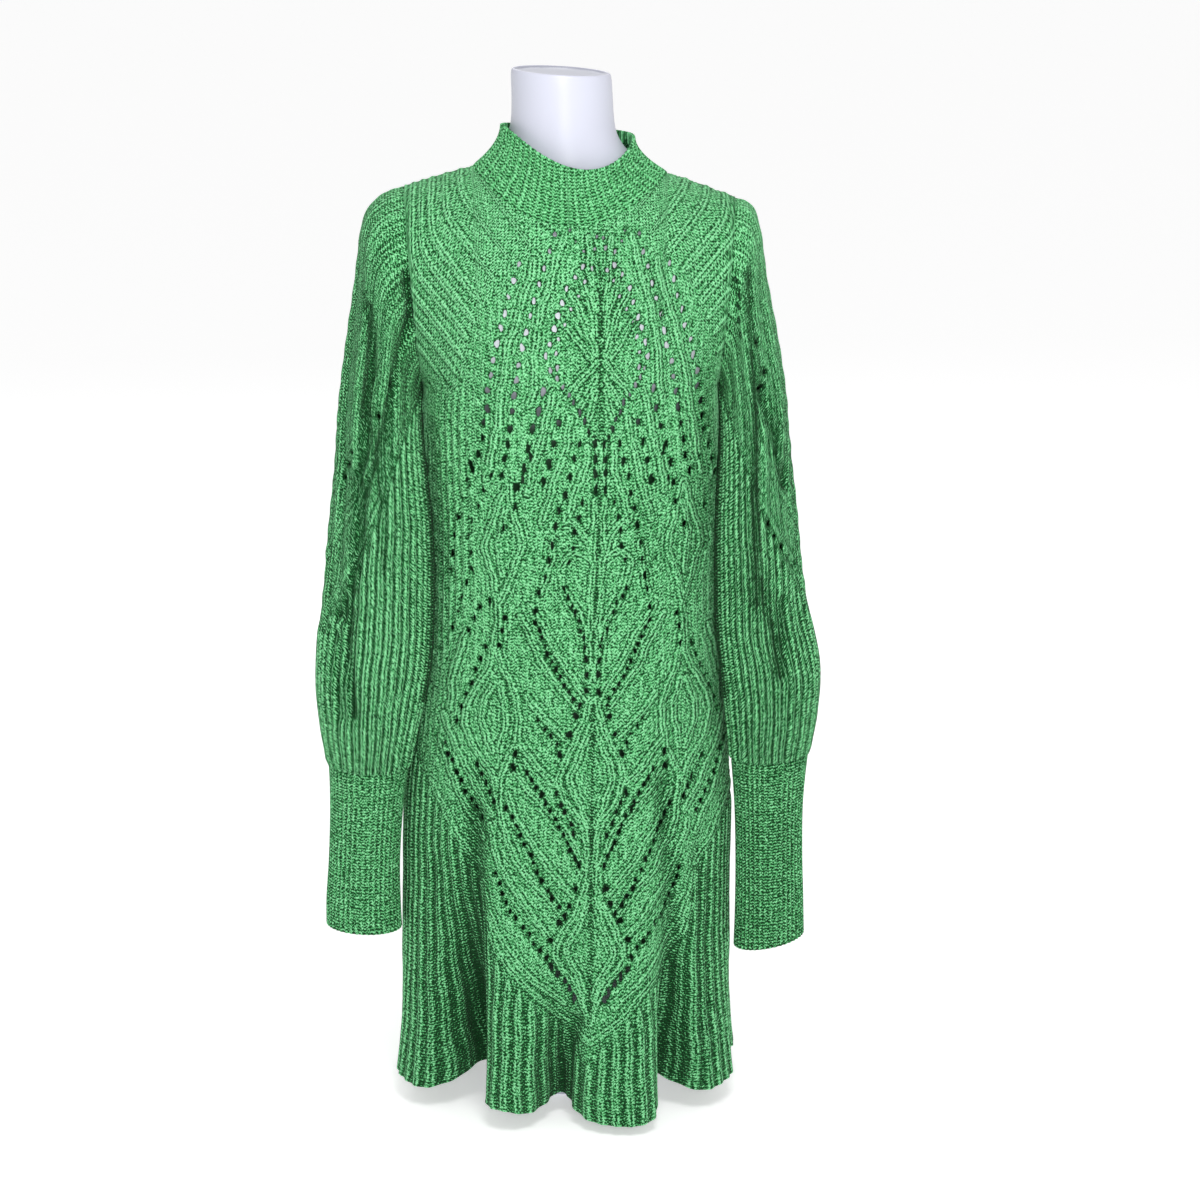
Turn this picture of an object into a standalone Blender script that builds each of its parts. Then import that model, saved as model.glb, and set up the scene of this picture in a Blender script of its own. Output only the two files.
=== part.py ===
"""Knit dress on a limbless dress form.

A mock-neck mini dress in a thick openwork knit, with balloon sleeves in long cuffs and a
flounced hem, on the smooth white form that holds it up.  Metres, +Z up, the front faces
-Y, and the origin is at the middle of the form's flat underside.
"""

import bmesh
import bpy
import numpy as np

# ---------------------------------------------------------------- driving sizes
WALL = 0.0024                 # thickness of the knit
SEAM = 0.0003                 # space between two pieces at a seam
ROUNDNESS = 2.2               # exponent of the body's oval sections
HEM_HEIGHT = 0.012            # lowest edge of the skirt above the floor
HEM_SIDE_RISE = 0.012         # the hem is this much higher at the sides
UNDERARM = 0.690              # height of the bottom of the armholes
UNDERARM_HALF = 0.1363        # half width of the body there
CHEST_FRONT = 0.115           # and its reach to the front and to the back
CHEST_BACK = 0.106
SHOULDER_HALF = 0.152         # half width of the body at the shoulder tips
RIDGE_PEAK = 0.9065           # height at which the two shoulder lines would meet
RIDGE_FALL = 0.51             # fall of the shoulder lines: RIDGE_FALL * |x| ** RIDGE_POWER
RIDGE_POWER = 1.35
SHOULDER_LEAN = 0.035         # the left shoulder sits lower: fall for each metre across
ARMHOLE_DEPTH = 0.062         # half depth of the armholes, front to back
ARMHOLE_REACH = 4             # how quickly the body takes up the armhole's shape
NECK_HALF = 0.089             # collar seam: half width, and its reach to front and back
NECK_FRONT = 0.080
NECK_BACK = 0.068

# ---------------------------------------------------------------- sections of the body
BODY_COLUMNS = ("height", "half_width", "front", "back", "centre_x")
BODY_SECTIONS = np.array((
    (0.000, 0.1640, 0.142, 0.138, -0.006),
    (0.060, 0.1590, 0.136, 0.131, -0.005),
    (0.120, 0.1560, 0.129, 0.123, -0.005),
    (0.200, 0.1545, 0.121, 0.115, -0.005),
    (0.300, 0.1535, 0.115, 0.109, -0.003),
    (0.380, 0.1460, 0.111, 0.105, 0.000),
    (0.460, 0.1405, 0.109, 0.103, 0.0025),
    (0.540, 0.1395, 0.110, 0.102, 0.0025),
    (0.620, 0.1395, 0.114, 0.104, 0.001),
    (0.660, 0.1385, 0.115, 0.1055, 0.000),
    (UNDERARM, UNDERARM_HALF, CHEST_FRONT, CHEST_BACK, 0.000),
))

# Folds of the flounce.  Bearings are degrees from the front, positive towards +X; a fold
# reaches out (+) or in (-) at the hem, and fades out at its own height.
FOLD_COLUMNS = ("bearing", "reach", "spread", "fades_at", "hem_lift")
FOLD_FADE = 1.4               # exponent of the fade
HEM_FOLDS = np.array((
    (-74.0, 0.006, 12.0, 0.16, 0.003),
    (-40.0, -0.080, 10.0, 0.25, 0.030),
    (-18.0, 0.012, 8.5, 0.20, 0.010),
    (-2.5, -0.048, 6.0, 0.19, 0.010),
    (20.0, 0.020, 12.0, 0.22, -0.002),
    (40.0, -0.070, 8.0, 0.22, 0.022),
    (68.0, 0.006, 12.0, 0.16, 0.003),
    (86.0, -0.014, 9.0, 0.14, 0.002),
    (110.0, 0.008, 10.0, 0.18, 0.000),
    (134.0, -0.050, 8.5, 0.21, 0.012),
    (156.0, 0.010, 10.0, 0.20, 0.002),
    (177.0, -0.056, 8.0, 0.24, 0.014),
    (198.0, 0.010, 10.0, 0.19, 0.000),
    (221.0, -0.046, 8.5, 0.18, 0.010),
    (246.0, 0.010, 11.0, 0.20, 0.000),
    (272.0, -0.014, 9.0, 0.13, 0.001),
))

# ---------------------------------------------------------------- sections of the arms
# Each row is a ring through an outer and an inner point, away from the middle plane.
ARM_COLUMNS = ("out_x", "out_z", "in_x", "in_z", "mid_y", "half_depth")
RIGHT_ARM = np.array((
    (0.1730, 0.8640, 0.1385, 0.6840, -0.004, 0.064),
    (0.1890, 0.8450, 0.1395, 0.6720, -0.010, 0.065),
    (0.1970, 0.7980, 0.1395, 0.6560, -0.020, 0.063),
    (0.2070, 0.7350, 0.1375, 0.6350, -0.031, 0.060),
    (0.2150, 0.6720, 0.1345, 0.6080, -0.040, 0.057),
    (0.2190, 0.6050, 0.1310, 0.5680, -0.048, 0.053),
    (0.2270, 0.5350, 0.1290, 0.5150, -0.053, 0.051),
    (0.2330, 0.4650, 0.1310, 0.4550, -0.055, 0.050),
    (0.2355, 0.4150, 0.1370, 0.4100, -0.055, 0.049),
    (0.2320, 0.3720, 0.1465, 0.3680, -0.053, 0.045),
    (0.2270, 0.3350, 0.1545, 0.3320, -0.048, 0.038),
    (0.2265, 0.2900, 0.1605, 0.2880, -0.044, 0.033),
    (0.2285, 0.2400, 0.1640, 0.2380, -0.042, 0.031),
    (0.2315, 0.2000, 0.1640, 0.1980, -0.041, 0.031),
    (0.2320, 0.1740, 0.1630, 0.1730, -0.041, 0.032),
))
LEFT_ARM = np.array((
    (0.1680, 0.8530, 0.1385, 0.6840, -0.004, 0.062),
    (0.1750, 0.8300, 0.1400, 0.6720, -0.010, 0.062),
    (0.1810, 0.7900, 0.1405, 0.6560, -0.020, 0.061),
    (0.1915, 0.7350, 0.1400, 0.6350, -0.031, 0.058),
    (0.1995, 0.6800, 0.1385, 0.6080, -0.040, 0.055),
    (0.2055, 0.6120, 0.1370, 0.5680, -0.047, 0.051),
    (0.2135, 0.5400, 0.1365, 0.5150, -0.051, 0.049),
    (0.2210, 0.4800, 0.1380, 0.4650, -0.052, 0.049),
    (0.2300, 0.4300, 0.1430, 0.4200, -0.052, 0.049),
    (0.2280, 0.3850, 0.1480, 0.3780, -0.050, 0.045),
    (0.2220, 0.3450, 0.1520, 0.3400, -0.046, 0.038),
    (0.2180, 0.2950, 0.1560, 0.2900, -0.042, 0.033),
    (0.2180, 0.2430, 0.1575, 0.2400, -0.040, 0.030),
    (0.2195, 0.1970, 0.1575, 0.1940, -0.039, 0.030),
    (0.2205, 0.1590, 0.1565, 0.1570, -0.039, 0.031),
))
CUFF_START = 11               # the cuff's seam lies on this ring, counted from the armhole
RING_SPACING = 0.045          # distance between two rows of the tables along the cuff

# Folds of the sleeves.  A fold runs from one ring to another while its bearing round the
# arm (degrees from the outer point, positive towards the front) turns.
SLEEVE_FOLD_COLUMNS = ("from_ring", "to_ring", "from_bearing", "to_bearing", "depth", "spread")
RIGHT_SLEEVE_FOLDS = np.array((
    (2.0, 8.5, 22.0, 38.0, 0.009, 15.0),
    (1.5, 5.5, 84.0, 62.0, 0.008, 14.0),
    (3.0, 8.0, 235.0, 205.0, 0.008, 16.0),
    (2.0, 6.0, 300.0, 320.0, 0.007, 15.0),
))
LEFT_SLEEVE_FOLDS = np.array((
    (2.0, 6.5, 48.0, 62.0, 0.009, 15.0),
    (5.0, 9.0, 20.0, 46.0, 0.007, 15.0),
    (3.0, 8.0, 240.0, 208.0, 0.008, 16.0),
    (2.0, 6.0, 305.0, 322.0, 0.007, 15.0),
))

# ---------------------------------------------------------------- collar and form
COLLAR_TOP_HALF = 0.0605      # the collar's upper edge: half width, and its reach
COLLAR_TOP_FRONT = 0.068
COLLAR_TOP_BACK = 0.060
COLLAR_TOP_HEIGHT = 0.923     # at the sides
COLLAR_FRONT_DIP = 0.028      # the front of the edge is lower
COLLAR_BACK_DIP = 0.004
COLLAR_LEAN = 0.09            # and so is its left side: fall for each metre across
COLLAR_SHIFT = -0.002         # the edge sits a little to the right on the neck
COLLAR_TWIST = 14.0           # degrees that the dress is turned on the form, front to left
COLLAR_SEAM = 0.0004          # space between the collar's foot and the yoke
FLARE = 1.9                   # how quickly a flared foot turns upright

FORM_SINK = WALL + 0.0005     # the form's shoulder tips lie just under the knit
FORM_EASE = 0.0035            # and its shoulder line falls this much more at the middle
FORM_COLUMNS = ("height", "half_width", "front", "back")
FORM_SECTIONS = np.array((
    (0.000, 0.068, 0.044, 0.050),
    (0.004, 0.071, 0.047, 0.053),
    (0.060, 0.076, 0.050, 0.056),
    (0.130, 0.094, 0.062, 0.066),
    (0.210, 0.117, 0.080, 0.084),
    (0.290, 0.127, 0.087, 0.092),
    (0.380, 0.116, 0.082, 0.080),
    (0.460, 0.106, 0.080, 0.074),
    (0.540, 0.110, 0.087, 0.081),
    (0.620, 0.120, 0.104, 0.092),
    (UNDERARM, 0.128, 0.109, 0.099),
))
FORM_ROWS = 15
FORM_SHOULDER_HALF = 0.146
FORM_FOOT_HALF = 0.084        # the oval on the shoulders from which the neck rises
FORM_FOOT_REACH = 0.050
NECK_COLUMNS = ("height", "half_width", "half_depth", "centre_x")
FORM_NECK = np.array((
    (0.932, 0.0472, 0.0495, -0.0065),
    (0.955, 0.0465, 0.0490, -0.007),
    (0.974, 0.0465, 0.0490, -0.008),
    (0.9775, 0.0450, 0.0475, -0.008),
    (0.9775, 0.0430, 0.0455, -0.008),
    (0.9750, 0.0420, 0.0445, -0.008),
))
NECK_LEAN = 0.06              # the top of the neck falls towards the left

# ---------------------------------------------------------------- mesh density
NECK_STEPS = 5                # grid columns from the front middle to the collar's corner
SIDE_STEPS = 8                # and from there to the side
SKIRT_ROWS = 13
YOKE_ROWS = 10
SKIRT_PACKING = 1.25          # how far the skirt's rows close up towards the hem
COLLAR_PACKING = 1.5          # and the yoke's columns towards the collar's corners
ARM_STEPS = 2                 # rings for each row of the arm tables
COLLAR_ROWS = 4
FORM_SHOULDER_ROWS = 8
FORM_NECK_ROWS = 4
SLOPE_STEP = 0.01             # step of the differences that give a surface's slope
HALVINGS = 40                 # of the interval in which a meeting point is looked for

GREEN = (0.075, 0.36, 0.105, 1.0)
WHITE = (0.80, 0.81, 0.85, 1.0)


# ---------------------------------------------------------------- curves and grids
def smooth(at, knots, values):
    """A cubic through the values, with the slope at each knot taken from its neighbours."""
    at = np.asarray(at, dtype=float)
    slopes = np.gradient(values, knots)
    left = np.clip(np.searchsorted(knots, at, side="right") - 1, 0, len(knots) - 2)
    span = knots[left + 1] - knots[left]
    t = (at - knots[left]) / span
    rise = values[left + 1] - values[left]
    inside = (values[left] + span * slopes[left] * (t - 2 * t**2 + t**3)
              + rise * (3 * t**2 - 2 * t**3) + span * slopes[left + 1] * (t**3 - t**2))
    before = values[left] + span * t * slopes[left]
    after = values[left + 1] + span * (t - 1) * slopes[left + 1]
    return np.where(t < 0, before, np.where(t > 1, after, inside))


def read(table, columns, name, at):
    """Read one column of a section table at the given heights, its first column."""
    return smooth(at, table[:, 0], table[:, columns.index(name)])


def power(value, exponent):
    """Raise to a power and keep the sign."""
    return np.sign(value) * np.abs(value) ** exponent


def normals(surface, around, along, low=-np.inf, high=np.inf):
    """Unit normals of a surface: the cross product of its two central differences, of
    which the one around stays between the limits."""
    right = np.minimum(around + SLOPE_STEP, high)
    left = np.maximum(around - SLOPE_STEP, low)
    across = surface(right, along) - surface(left, along)
    up = surface(around, along + SLOPE_STEP) - surface(around, along - SLOPE_STEP)
    normal = np.cross(across, up)
    return normal / np.linalg.norm(normal, axis=-1, keepdims=True)


def grid_faces(rows, columns, closed, first=0):
    """Quads of a grid of points, row by row, joined round where it is closed."""
    row, column = np.meshgrid(np.arange(rows - 1), np.arange(columns - (not closed)),
                              indexing="ij")
    corner = first + row * columns + column
    right = first + row * columns + (column + 1) % columns
    return np.stack((corner, right, right + columns, corner + columns), -1).reshape(-1, 4)


def rim_faces(border, offset):
    """Quads that join a border of the outer face to the same border of the inner one."""
    start = border[:-1]
    end = border[1:]
    return np.stack((start, start + offset, end + offset, end), -1)


def wall(name, outer, normal, closed, material):
    """Make a wall of knit: an outer grid, the same grid one thickness in, their rims."""
    rows, columns, _ = outer.shape
    count = rows * columns
    inner = outer - WALL * normal
    points = np.concatenate((outer.reshape(-1, 3), inner.reshape(-1, 3)))
    index = np.arange(count).reshape(rows, columns)
    faces = [grid_faces(rows, columns, closed),
             grid_faces(rows, columns, closed, count)[:, ::-1]]
    if closed:
        bottom = np.append(index[0], index[0, 0])
        top = np.append(index[-1], index[-1, 0])
        faces += [rim_faces(bottom, count), rim_faces(top[::-1], count)]
    else:
        border = np.concatenate((index[0], index[1:, -1], index[-1, -2::-1], index[-2::-1, 0]))
        faces.append(rim_faces(border, count))
    add_object(name, points, np.concatenate(faces), material)


def add_object(name, points, faces, material):
    """Make one named object in the part's collection from points and faces."""
    mesh = bpy.data.meshes.new(name)
    mesh.from_pydata(points.tolist(), [], [list(face) for face in faces])
    mesh.materials.append(material)
    work = bmesh.new()
    work.from_mesh(mesh)
    bmesh.ops.remove_doubles(work, verts=work.verts, dist=0.00001)
    bmesh.ops.recalc_face_normals(work, faces=work.faces)
    work.to_mesh(mesh)
    work.free()
    mesh.shade_smooth()
    mesh.set_sharp_from_angle(angle=np.radians(50))
    collection.objects.link(bpy.data.objects.new(name, mesh))


def make_material(name, colour, roughness):
    """A Principled material in one colour."""
    material = bpy.data.materials.new(name)
    material.use_nodes = True
    shader = material.node_tree.nodes["Principled BSDF"]
    shader.inputs["Base Color"].default_value = colour
    shader.inputs["Roughness"].default_value = roughness
    shader.inputs["Metallic"].default_value = 0.0
    return material


# ---------------------------------------------------------------- the body of the dress
def hem_folds(bearing, height):
    """Reach of the flounce's folds, and how far they lift the hem, at each point."""
    reach = np.zeros(np.broadcast(bearing, height).shape)
    lift = np.zeros_like(reach)
    for centre, depth, spread, fades_at, hem_lift in HEM_FOLDS:
        turn = (np.degrees(bearing) - centre + 180.0) % 360.0 - 180.0
        bump = np.exp(-(turn / spread) ** 2)
        fade = np.clip(1.0 - (height - HEM_HEIGHT) / fades_at, 0.0, 1.0) ** FOLD_FADE
        reach = reach + depth * bump * fade
        lift = lift + hem_lift * bump
    return reach, lift


def skirt(bearing, row):
    """The body from the hem (row 0) to the underarm (row 1), as ovals with their folds."""
    _, lift = hem_folds(bearing, HEM_HEIGHT)
    hem = HEM_HEIGHT + HEM_SIDE_RISE * np.sin(bearing) ** 2 + lift
    height = hem + (UNDERARM - hem) * row
    reach, _ = hem_folds(bearing, height)
    half = read(BODY_SECTIONS, BODY_COLUMNS, "half_width", height)
    front = read(BODY_SECTIONS, BODY_COLUMNS, "front", height)
    back = read(BODY_SECTIONS, BODY_COLUMNS, "back", height)
    middle = read(BODY_SECTIONS, BODY_COLUMNS, "centre_x", height)
    depth = np.where(np.cos(bearing) > 0, front, back)
    x = middle + half * power(np.sin(bearing), 2 / ROUNDNESS) + reach * np.sin(bearing)
    y = -depth * power(np.cos(bearing), 2 / ROUNDNESS) - reach * np.cos(bearing)
    return np.stack((x, y, height + 0 * x), -1)


def ridge_height(x):
    """Height of the shoulder lines."""
    return RIDGE_PEAK - RIDGE_FALL * np.abs(x) ** RIDGE_POWER - SHOULDER_LEAN * x


def over_shoulder(bearing, angle, side):
    """The body above the underarm: quarter ovals from the chest (angle 90 degrees) up to
    the shoulder line (0), opened towards the sides so that they end on the armhole."""
    sideways = np.sin(bearing)
    across = power(sideways, 2 / ROUNDNESS)
    chest = CHEST_FRONT if side > 0 else CHEST_BACK
    opening = 2 * ARMHOLE_DEPTH * np.abs(np.cos(angle)) / chest
    section = 1 - (1 - opening**ROUNDNESS) * np.minimum(sideways**2, 1)
    section = section ** (1 / ROUNDNESS)
    rise = np.abs(np.cos(angle)) ** (1 + np.abs(sideways) ** ARMHOLE_REACH)
    x = (UNDERARM_HALF + (SHOULDER_HALF - UNDERARM_HALF) * rise) * across
    y = -side * chest * section * np.sin(angle)
    z = UNDERARM + (ridge_height(SHOULDER_HALF * across) - UNDERARM) * rise
    return np.stack((x, y, z), -1)


def neck_angle(surface, bearing, half, reach):
    """Angle at which a surface over the shoulders enters an upright oval round the neck,
    or 0 where it first comes to the shoulder line."""
    low = np.zeros_like(bearing)
    high = np.full_like(bearing, np.pi / 2)
    for _ in range(HALVINGS):
        middle = (low + high) / 2
        point = surface(bearing, middle)
        inside = (point[:, 0] / half) ** 2 + (point[:, 1] / reach) ** 2 < 1
        low = np.where(inside, middle, low)
        high = np.where(inside, high, middle)
    return np.where(low < 0.001, 0.0, low)


def half_bearings(neck_half, shoulder_half, neck_steps, side_steps):
    """Bearings of a grid's columns from the front middle to the side: steps round the oval
    at the neck that close up towards its corner, then even steps of bearing."""
    turn = np.pi / 2 * (1 - np.linspace(1, 0, neck_steps + 1) ** COLLAR_PACKING)
    inner = np.arcsin((neck_half * np.sin(turn) / shoulder_half) ** (ROUNDNESS / 2))
    outer = np.linspace(inner[-1], np.pi / 2, side_steps + 1)[1:]
    return np.concatenate((inner, outer))


def body_bearings(side):
    """Bearings of the columns, anticlockwise: of the front right to left, then the back."""
    half = half_bearings(NECK_HALF, SHOULDER_HALF, NECK_STEPS, SIDE_STEPS)
    whole = np.concatenate((-half[:0:-1], half))
    return whole if side > 0 else whole + np.pi


def body_grid(side, bearings):
    """Points and outward normals of the front (side 1) or the back (-1) of the dress, row
    by row from the hem to the collar and shoulder seams."""
    rows = np.linspace(0, 1, SKIRT_ROWS + 1) ** SKIRT_PACKING
    row, below = np.meshgrid(rows, bearings, indexing="ij")

    def yoke(bearing, angle):
        return over_shoulder(bearing, angle, side)

    top = neck_angle(yoke, bearings, NECK_HALF, NECK_FRONT if side > 0 else NECK_BACK)
    angle = top + (np.pi / 2 - top) * np.linspace(1, 0, YOKE_ROWS + 1)[1:, None]
    above = bearings + 0 * angle
    points = np.concatenate((skirt(below, row), yoke(above, angle)))
    normal = np.concatenate((normals(skirt, below, row),
                             -normals(yoke, above, angle, bearings.min(), bearings.max())))
    return points, normal


def body_panel(name, side, material):
    """Make the front or the back of the dress, one piece from hem to shoulder seam."""
    outer, normal = body_grid(side, body_bearings(side))
    outer[..., 1] -= side * SEAM / 2
    wall(name, outer, normal, False, material)


# ---------------------------------------------------------------- sleeves and cuffs
def armhole_row(side):
    """The armhole as a row of an arm table."""
    return (SHOULDER_HALF, ridge_height(side * SHOULDER_HALF), UNDERARM_HALF, UNDERARM,
            0.0, ARMHOLE_DEPTH)


def arm(table, folds, side):
    """Surface of one arm: rings through the outer and inner points of the table, from the
    armhole's plane at the shoulder to level ones at the cuff, with the sleeve's folds."""
    rows = np.vstack((armhole_row(side), table))
    rings = np.arange(len(rows), dtype=float)

    def surface(bearing, ring):
        value = {name: smooth(ring, rings, rows[:, column])
                 for column, name in enumerate(ARM_COLUMNS)}
        inward = np.zeros(np.broadcast(bearing, ring).shape)
        for start, end, first, last, depth, spread in folds:
            along = np.clip((ring - start) / (end - start), 0.0, 1.0)
            centre = first + (last - first) * along
            turn = (np.degrees(bearing) - centre + 180.0) % 360.0 - 180.0
            inward = inward + depth * np.sin(np.pi * along) * np.exp(-(turn / spread) ** 2)
        shrink = 1 - inward / value["half_depth"]
        swing = shrink * np.cos(bearing)
        x = (value["out_x"] + value["in_x"]) / 2 + (value["out_x"] - value["in_x"]) / 2 * swing
        z = (value["out_z"] + value["in_z"]) / 2 + (value["out_z"] - value["in_z"]) / 2 * swing
        y = value["mid_y"] - value["half_depth"] * shrink * np.sin(bearing)
        return np.stack((side * (x + SEAM), y, z), -1)
    return surface


def arm_tube(name, surface, side, rings):
    """Make a length of the arm as a tube of knit."""
    bearings = np.arange(2 * YOKE_ROWS) * np.pi / YOKE_ROWS
    ring, bearing = np.meshgrid(rings, bearings, indexing="ij")
    outer = surface(bearing, ring)
    normal = normals(surface, bearing, ring) * side
    if rings[0] == 0:
        half_height = (ridge_height(side * SHOULDER_HALF) - UNDERARM) / 2
        lean = (SHOULDER_HALF - UNDERARM_HALF) / 2
        flat = np.stack((side * lean * np.cos(bearings) / half_height**2,
                         -np.sin(bearings) / ARMHOLE_DEPTH, np.cos(bearings) / half_height), -1)
        normal[0] = flat / np.linalg.norm(flat, axis=-1, keepdims=True)
    wall(name, outer, normal, True, make_material(name + "_knit", GREEN, 0.9))


def arm_pieces(label, table, folds, side):
    """Make the balloon sleeve and the long cuff of one arm."""
    surface = arm(table, folds, side)
    last = len(table)
    gap = SEAM / RING_SPACING
    sleeve_rings = np.linspace(0, CUFF_START, CUFF_START * ARM_STEPS - 1)
    cuff_rings = np.linspace(CUFF_START + gap, last, last - CUFF_START + 1)
    arm_tube("sleeve_" + label, surface, side, sleeve_rings)
    arm_tube("cuff_" + label, surface, side, cuff_rings)


# ---------------------------------------------------------------- collar
def neckline():
    """Points and normals of the collar seam: the front from right to left, then the back."""
    points = []
    directions = []
    for side, part in ((1, slice(None)), (-1, slice(1, -1))):
        grid, normal = body_grid(side, body_bearings(side))
        points.append(grid[-1, SIDE_STEPS:-SIDE_STEPS][part])
        directions.append(normal[-1, SIDE_STEPS:-SIDE_STEPS][part])
    return np.concatenate(points), np.concatenate(directions)


def flared(foot, edge, rows):
    """Rings from a foot to an edge that rise evenly and turn from sloping to upright."""
    height = np.linspace(0, 1, rows + 1)[:, None, None]
    plan = 1 - (1 - height) ** FLARE
    share = np.concatenate((plan, plan, height), -1)
    return foot + (edge - foot) * share


def make_collar(material):
    """Make the mock-neck collar, whose flared foot turns upright towards its edge."""
    foot, foot_normal = neckline()
    reach = np.where(foot[:, 1] < 0, NECK_FRONT, NECK_BACK)
    turn = np.arctan2(foot[:, 0] / NECK_HALF, -foot[:, 1] / reach)
    facing = np.cos(turn)
    dip_facing = np.cos(turn - np.radians(COLLAR_TWIST))
    dip = np.where(dip_facing > 0, COLLAR_FRONT_DIP, COLLAR_BACK_DIP) * dip_facing**2
    x = COLLAR_SHIFT + COLLAR_TOP_HALF * np.sin(turn)
    y = -np.where(facing > 0, COLLAR_TOP_FRONT, COLLAR_TOP_BACK) * facing
    edge = np.stack((x, y, COLLAR_TOP_HEIGHT - dip - COLLAR_LEAN * x), -1)
    outer = flared(foot, edge, COLLAR_ROWS)
    rise = outer[1] - outer[0]
    outer[0] += COLLAR_SEAM * rise / np.linalg.norm(rise, axis=-1, keepdims=True)
    around = np.roll(outer, -1, axis=1) - np.roll(outer, 1, axis=1)
    normal = np.cross(around, np.gradient(outer, axis=0))
    normal /= np.linalg.norm(normal, axis=-1, keepdims=True)
    normal[0] = foot_normal
    wall("collar", outer, normal, True, material)


# ---------------------------------------------------------------- the form
def form_shoulder(bearing, angle):
    """The form above the underarm: quarter ovals from its chest to its shoulder line."""
    side = np.where(np.cos(bearing) > 0, 1, -1)
    across = power(np.sin(bearing), 2 / ROUNDNESS)
    _, half, front, back = FORM_SECTIONS[-1]
    x = (half + (FORM_SHOULDER_HALF - half) * np.cos(angle)) * across
    depth = np.where(side > 0, front, back)
    y = -depth * power(np.cos(bearing), 2 / ROUNDNESS) * np.sin(angle)
    ridge = ridge_height(FORM_SHOULDER_HALF * across) - FORM_SINK
    ridge = ridge - FORM_EASE * (1 - np.abs(across))
    return np.stack((x, y, UNDERARM + (ridge - UNDERARM) * np.cos(angle)), -1)


def make_form(material):
    """Make the smooth limbless form: ovals up to the chest, shoulders, and a neck with a
    shallow dish in its top."""
    half = half_bearings(FORM_FOOT_HALF, FORM_SHOULDER_HALF, NECK_STEPS, NECK_STEPS)
    front = np.concatenate((-half[:0:-1], half))
    bearing = np.concatenate((front, np.pi - front[-2:0:-1]))
    across = power(np.sin(bearing), 2 / ROUNDNESS)
    forward = power(np.cos(bearing), 2 / ROUNDNESS)
    rings = []
    for height in np.append(FORM_SECTIONS[:2, 0], np.linspace(0.03, UNDERARM, FORM_ROWS)):
        width, ahead, behind = (read(FORM_SECTIONS, FORM_COLUMNS, name, height)
                                for name in FORM_COLUMNS[1:])
        depth = np.where(forward > 0, ahead, behind)
        rings.append(np.stack((width * across, -depth * forward, height + 0 * across), -1))

    top = neck_angle(form_shoulder, bearing, FORM_FOOT_HALF, FORM_FOOT_REACH)
    for share in np.linspace(0, 1, FORM_SHOULDER_ROWS + 1)[1:]:
        rings.append(form_shoulder(bearing, np.pi / 2 + (top - np.pi / 2) * share))
    body = np.stack(rings)

    foot = body[-1, np.abs(across) * FORM_SHOULDER_HALF < FORM_FOOT_HALF + SEAM]
    turn = np.arctan2(foot[:, 0] / FORM_FOOT_HALF, -foot[:, 1] / FORM_FOOT_REACH)
    rims = []
    for height, width, depth, centre in FORM_NECK:
        x = centre + width * np.sin(turn)
        rims.append(np.stack((x, -depth * np.cos(turn), height - NECK_LEAN * x), -1))
    neck = np.concatenate((flared(foot, rims[0], FORM_NECK_ROWS)[:-1], np.stack(rims)))

    points = np.concatenate((body.reshape(-1, 3), neck.reshape(-1, 3)))
    underside = np.arange(len(bearing))[::-1]
    dish = np.arange(len(points) - len(turn), len(points))
    faces = [*grid_faces(*body.shape[:2], True),
             *grid_faces(*neck.shape[:2], True, body.size // 3), underside, dish]
    add_object("dress_form", points, faces, material)


# ---------------------------------------------------------------- build
for old in list(bpy.data.objects):
    bpy.data.objects.remove(old, do_unlink=True)
collection = bpy.data.collections.new("knit_dress_on_form")
bpy.context.scene.collection.children.link(collection)

body_panel("front", 1, make_material("front_knit", GREEN, 0.9))
body_panel("back", -1, make_material("back_knit", GREEN, 0.9))
make_collar(make_material("collar_knit", GREEN, 0.9))
arm_pieces("right", RIGHT_ARM, RIGHT_SLEEVE_FOLDS, -1)
arm_pieces("left", LEFT_ARM, LEFT_SLEEVE_FOLDS, 1)
make_form(make_material("form_gloss", WHITE, 0.35))
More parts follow.
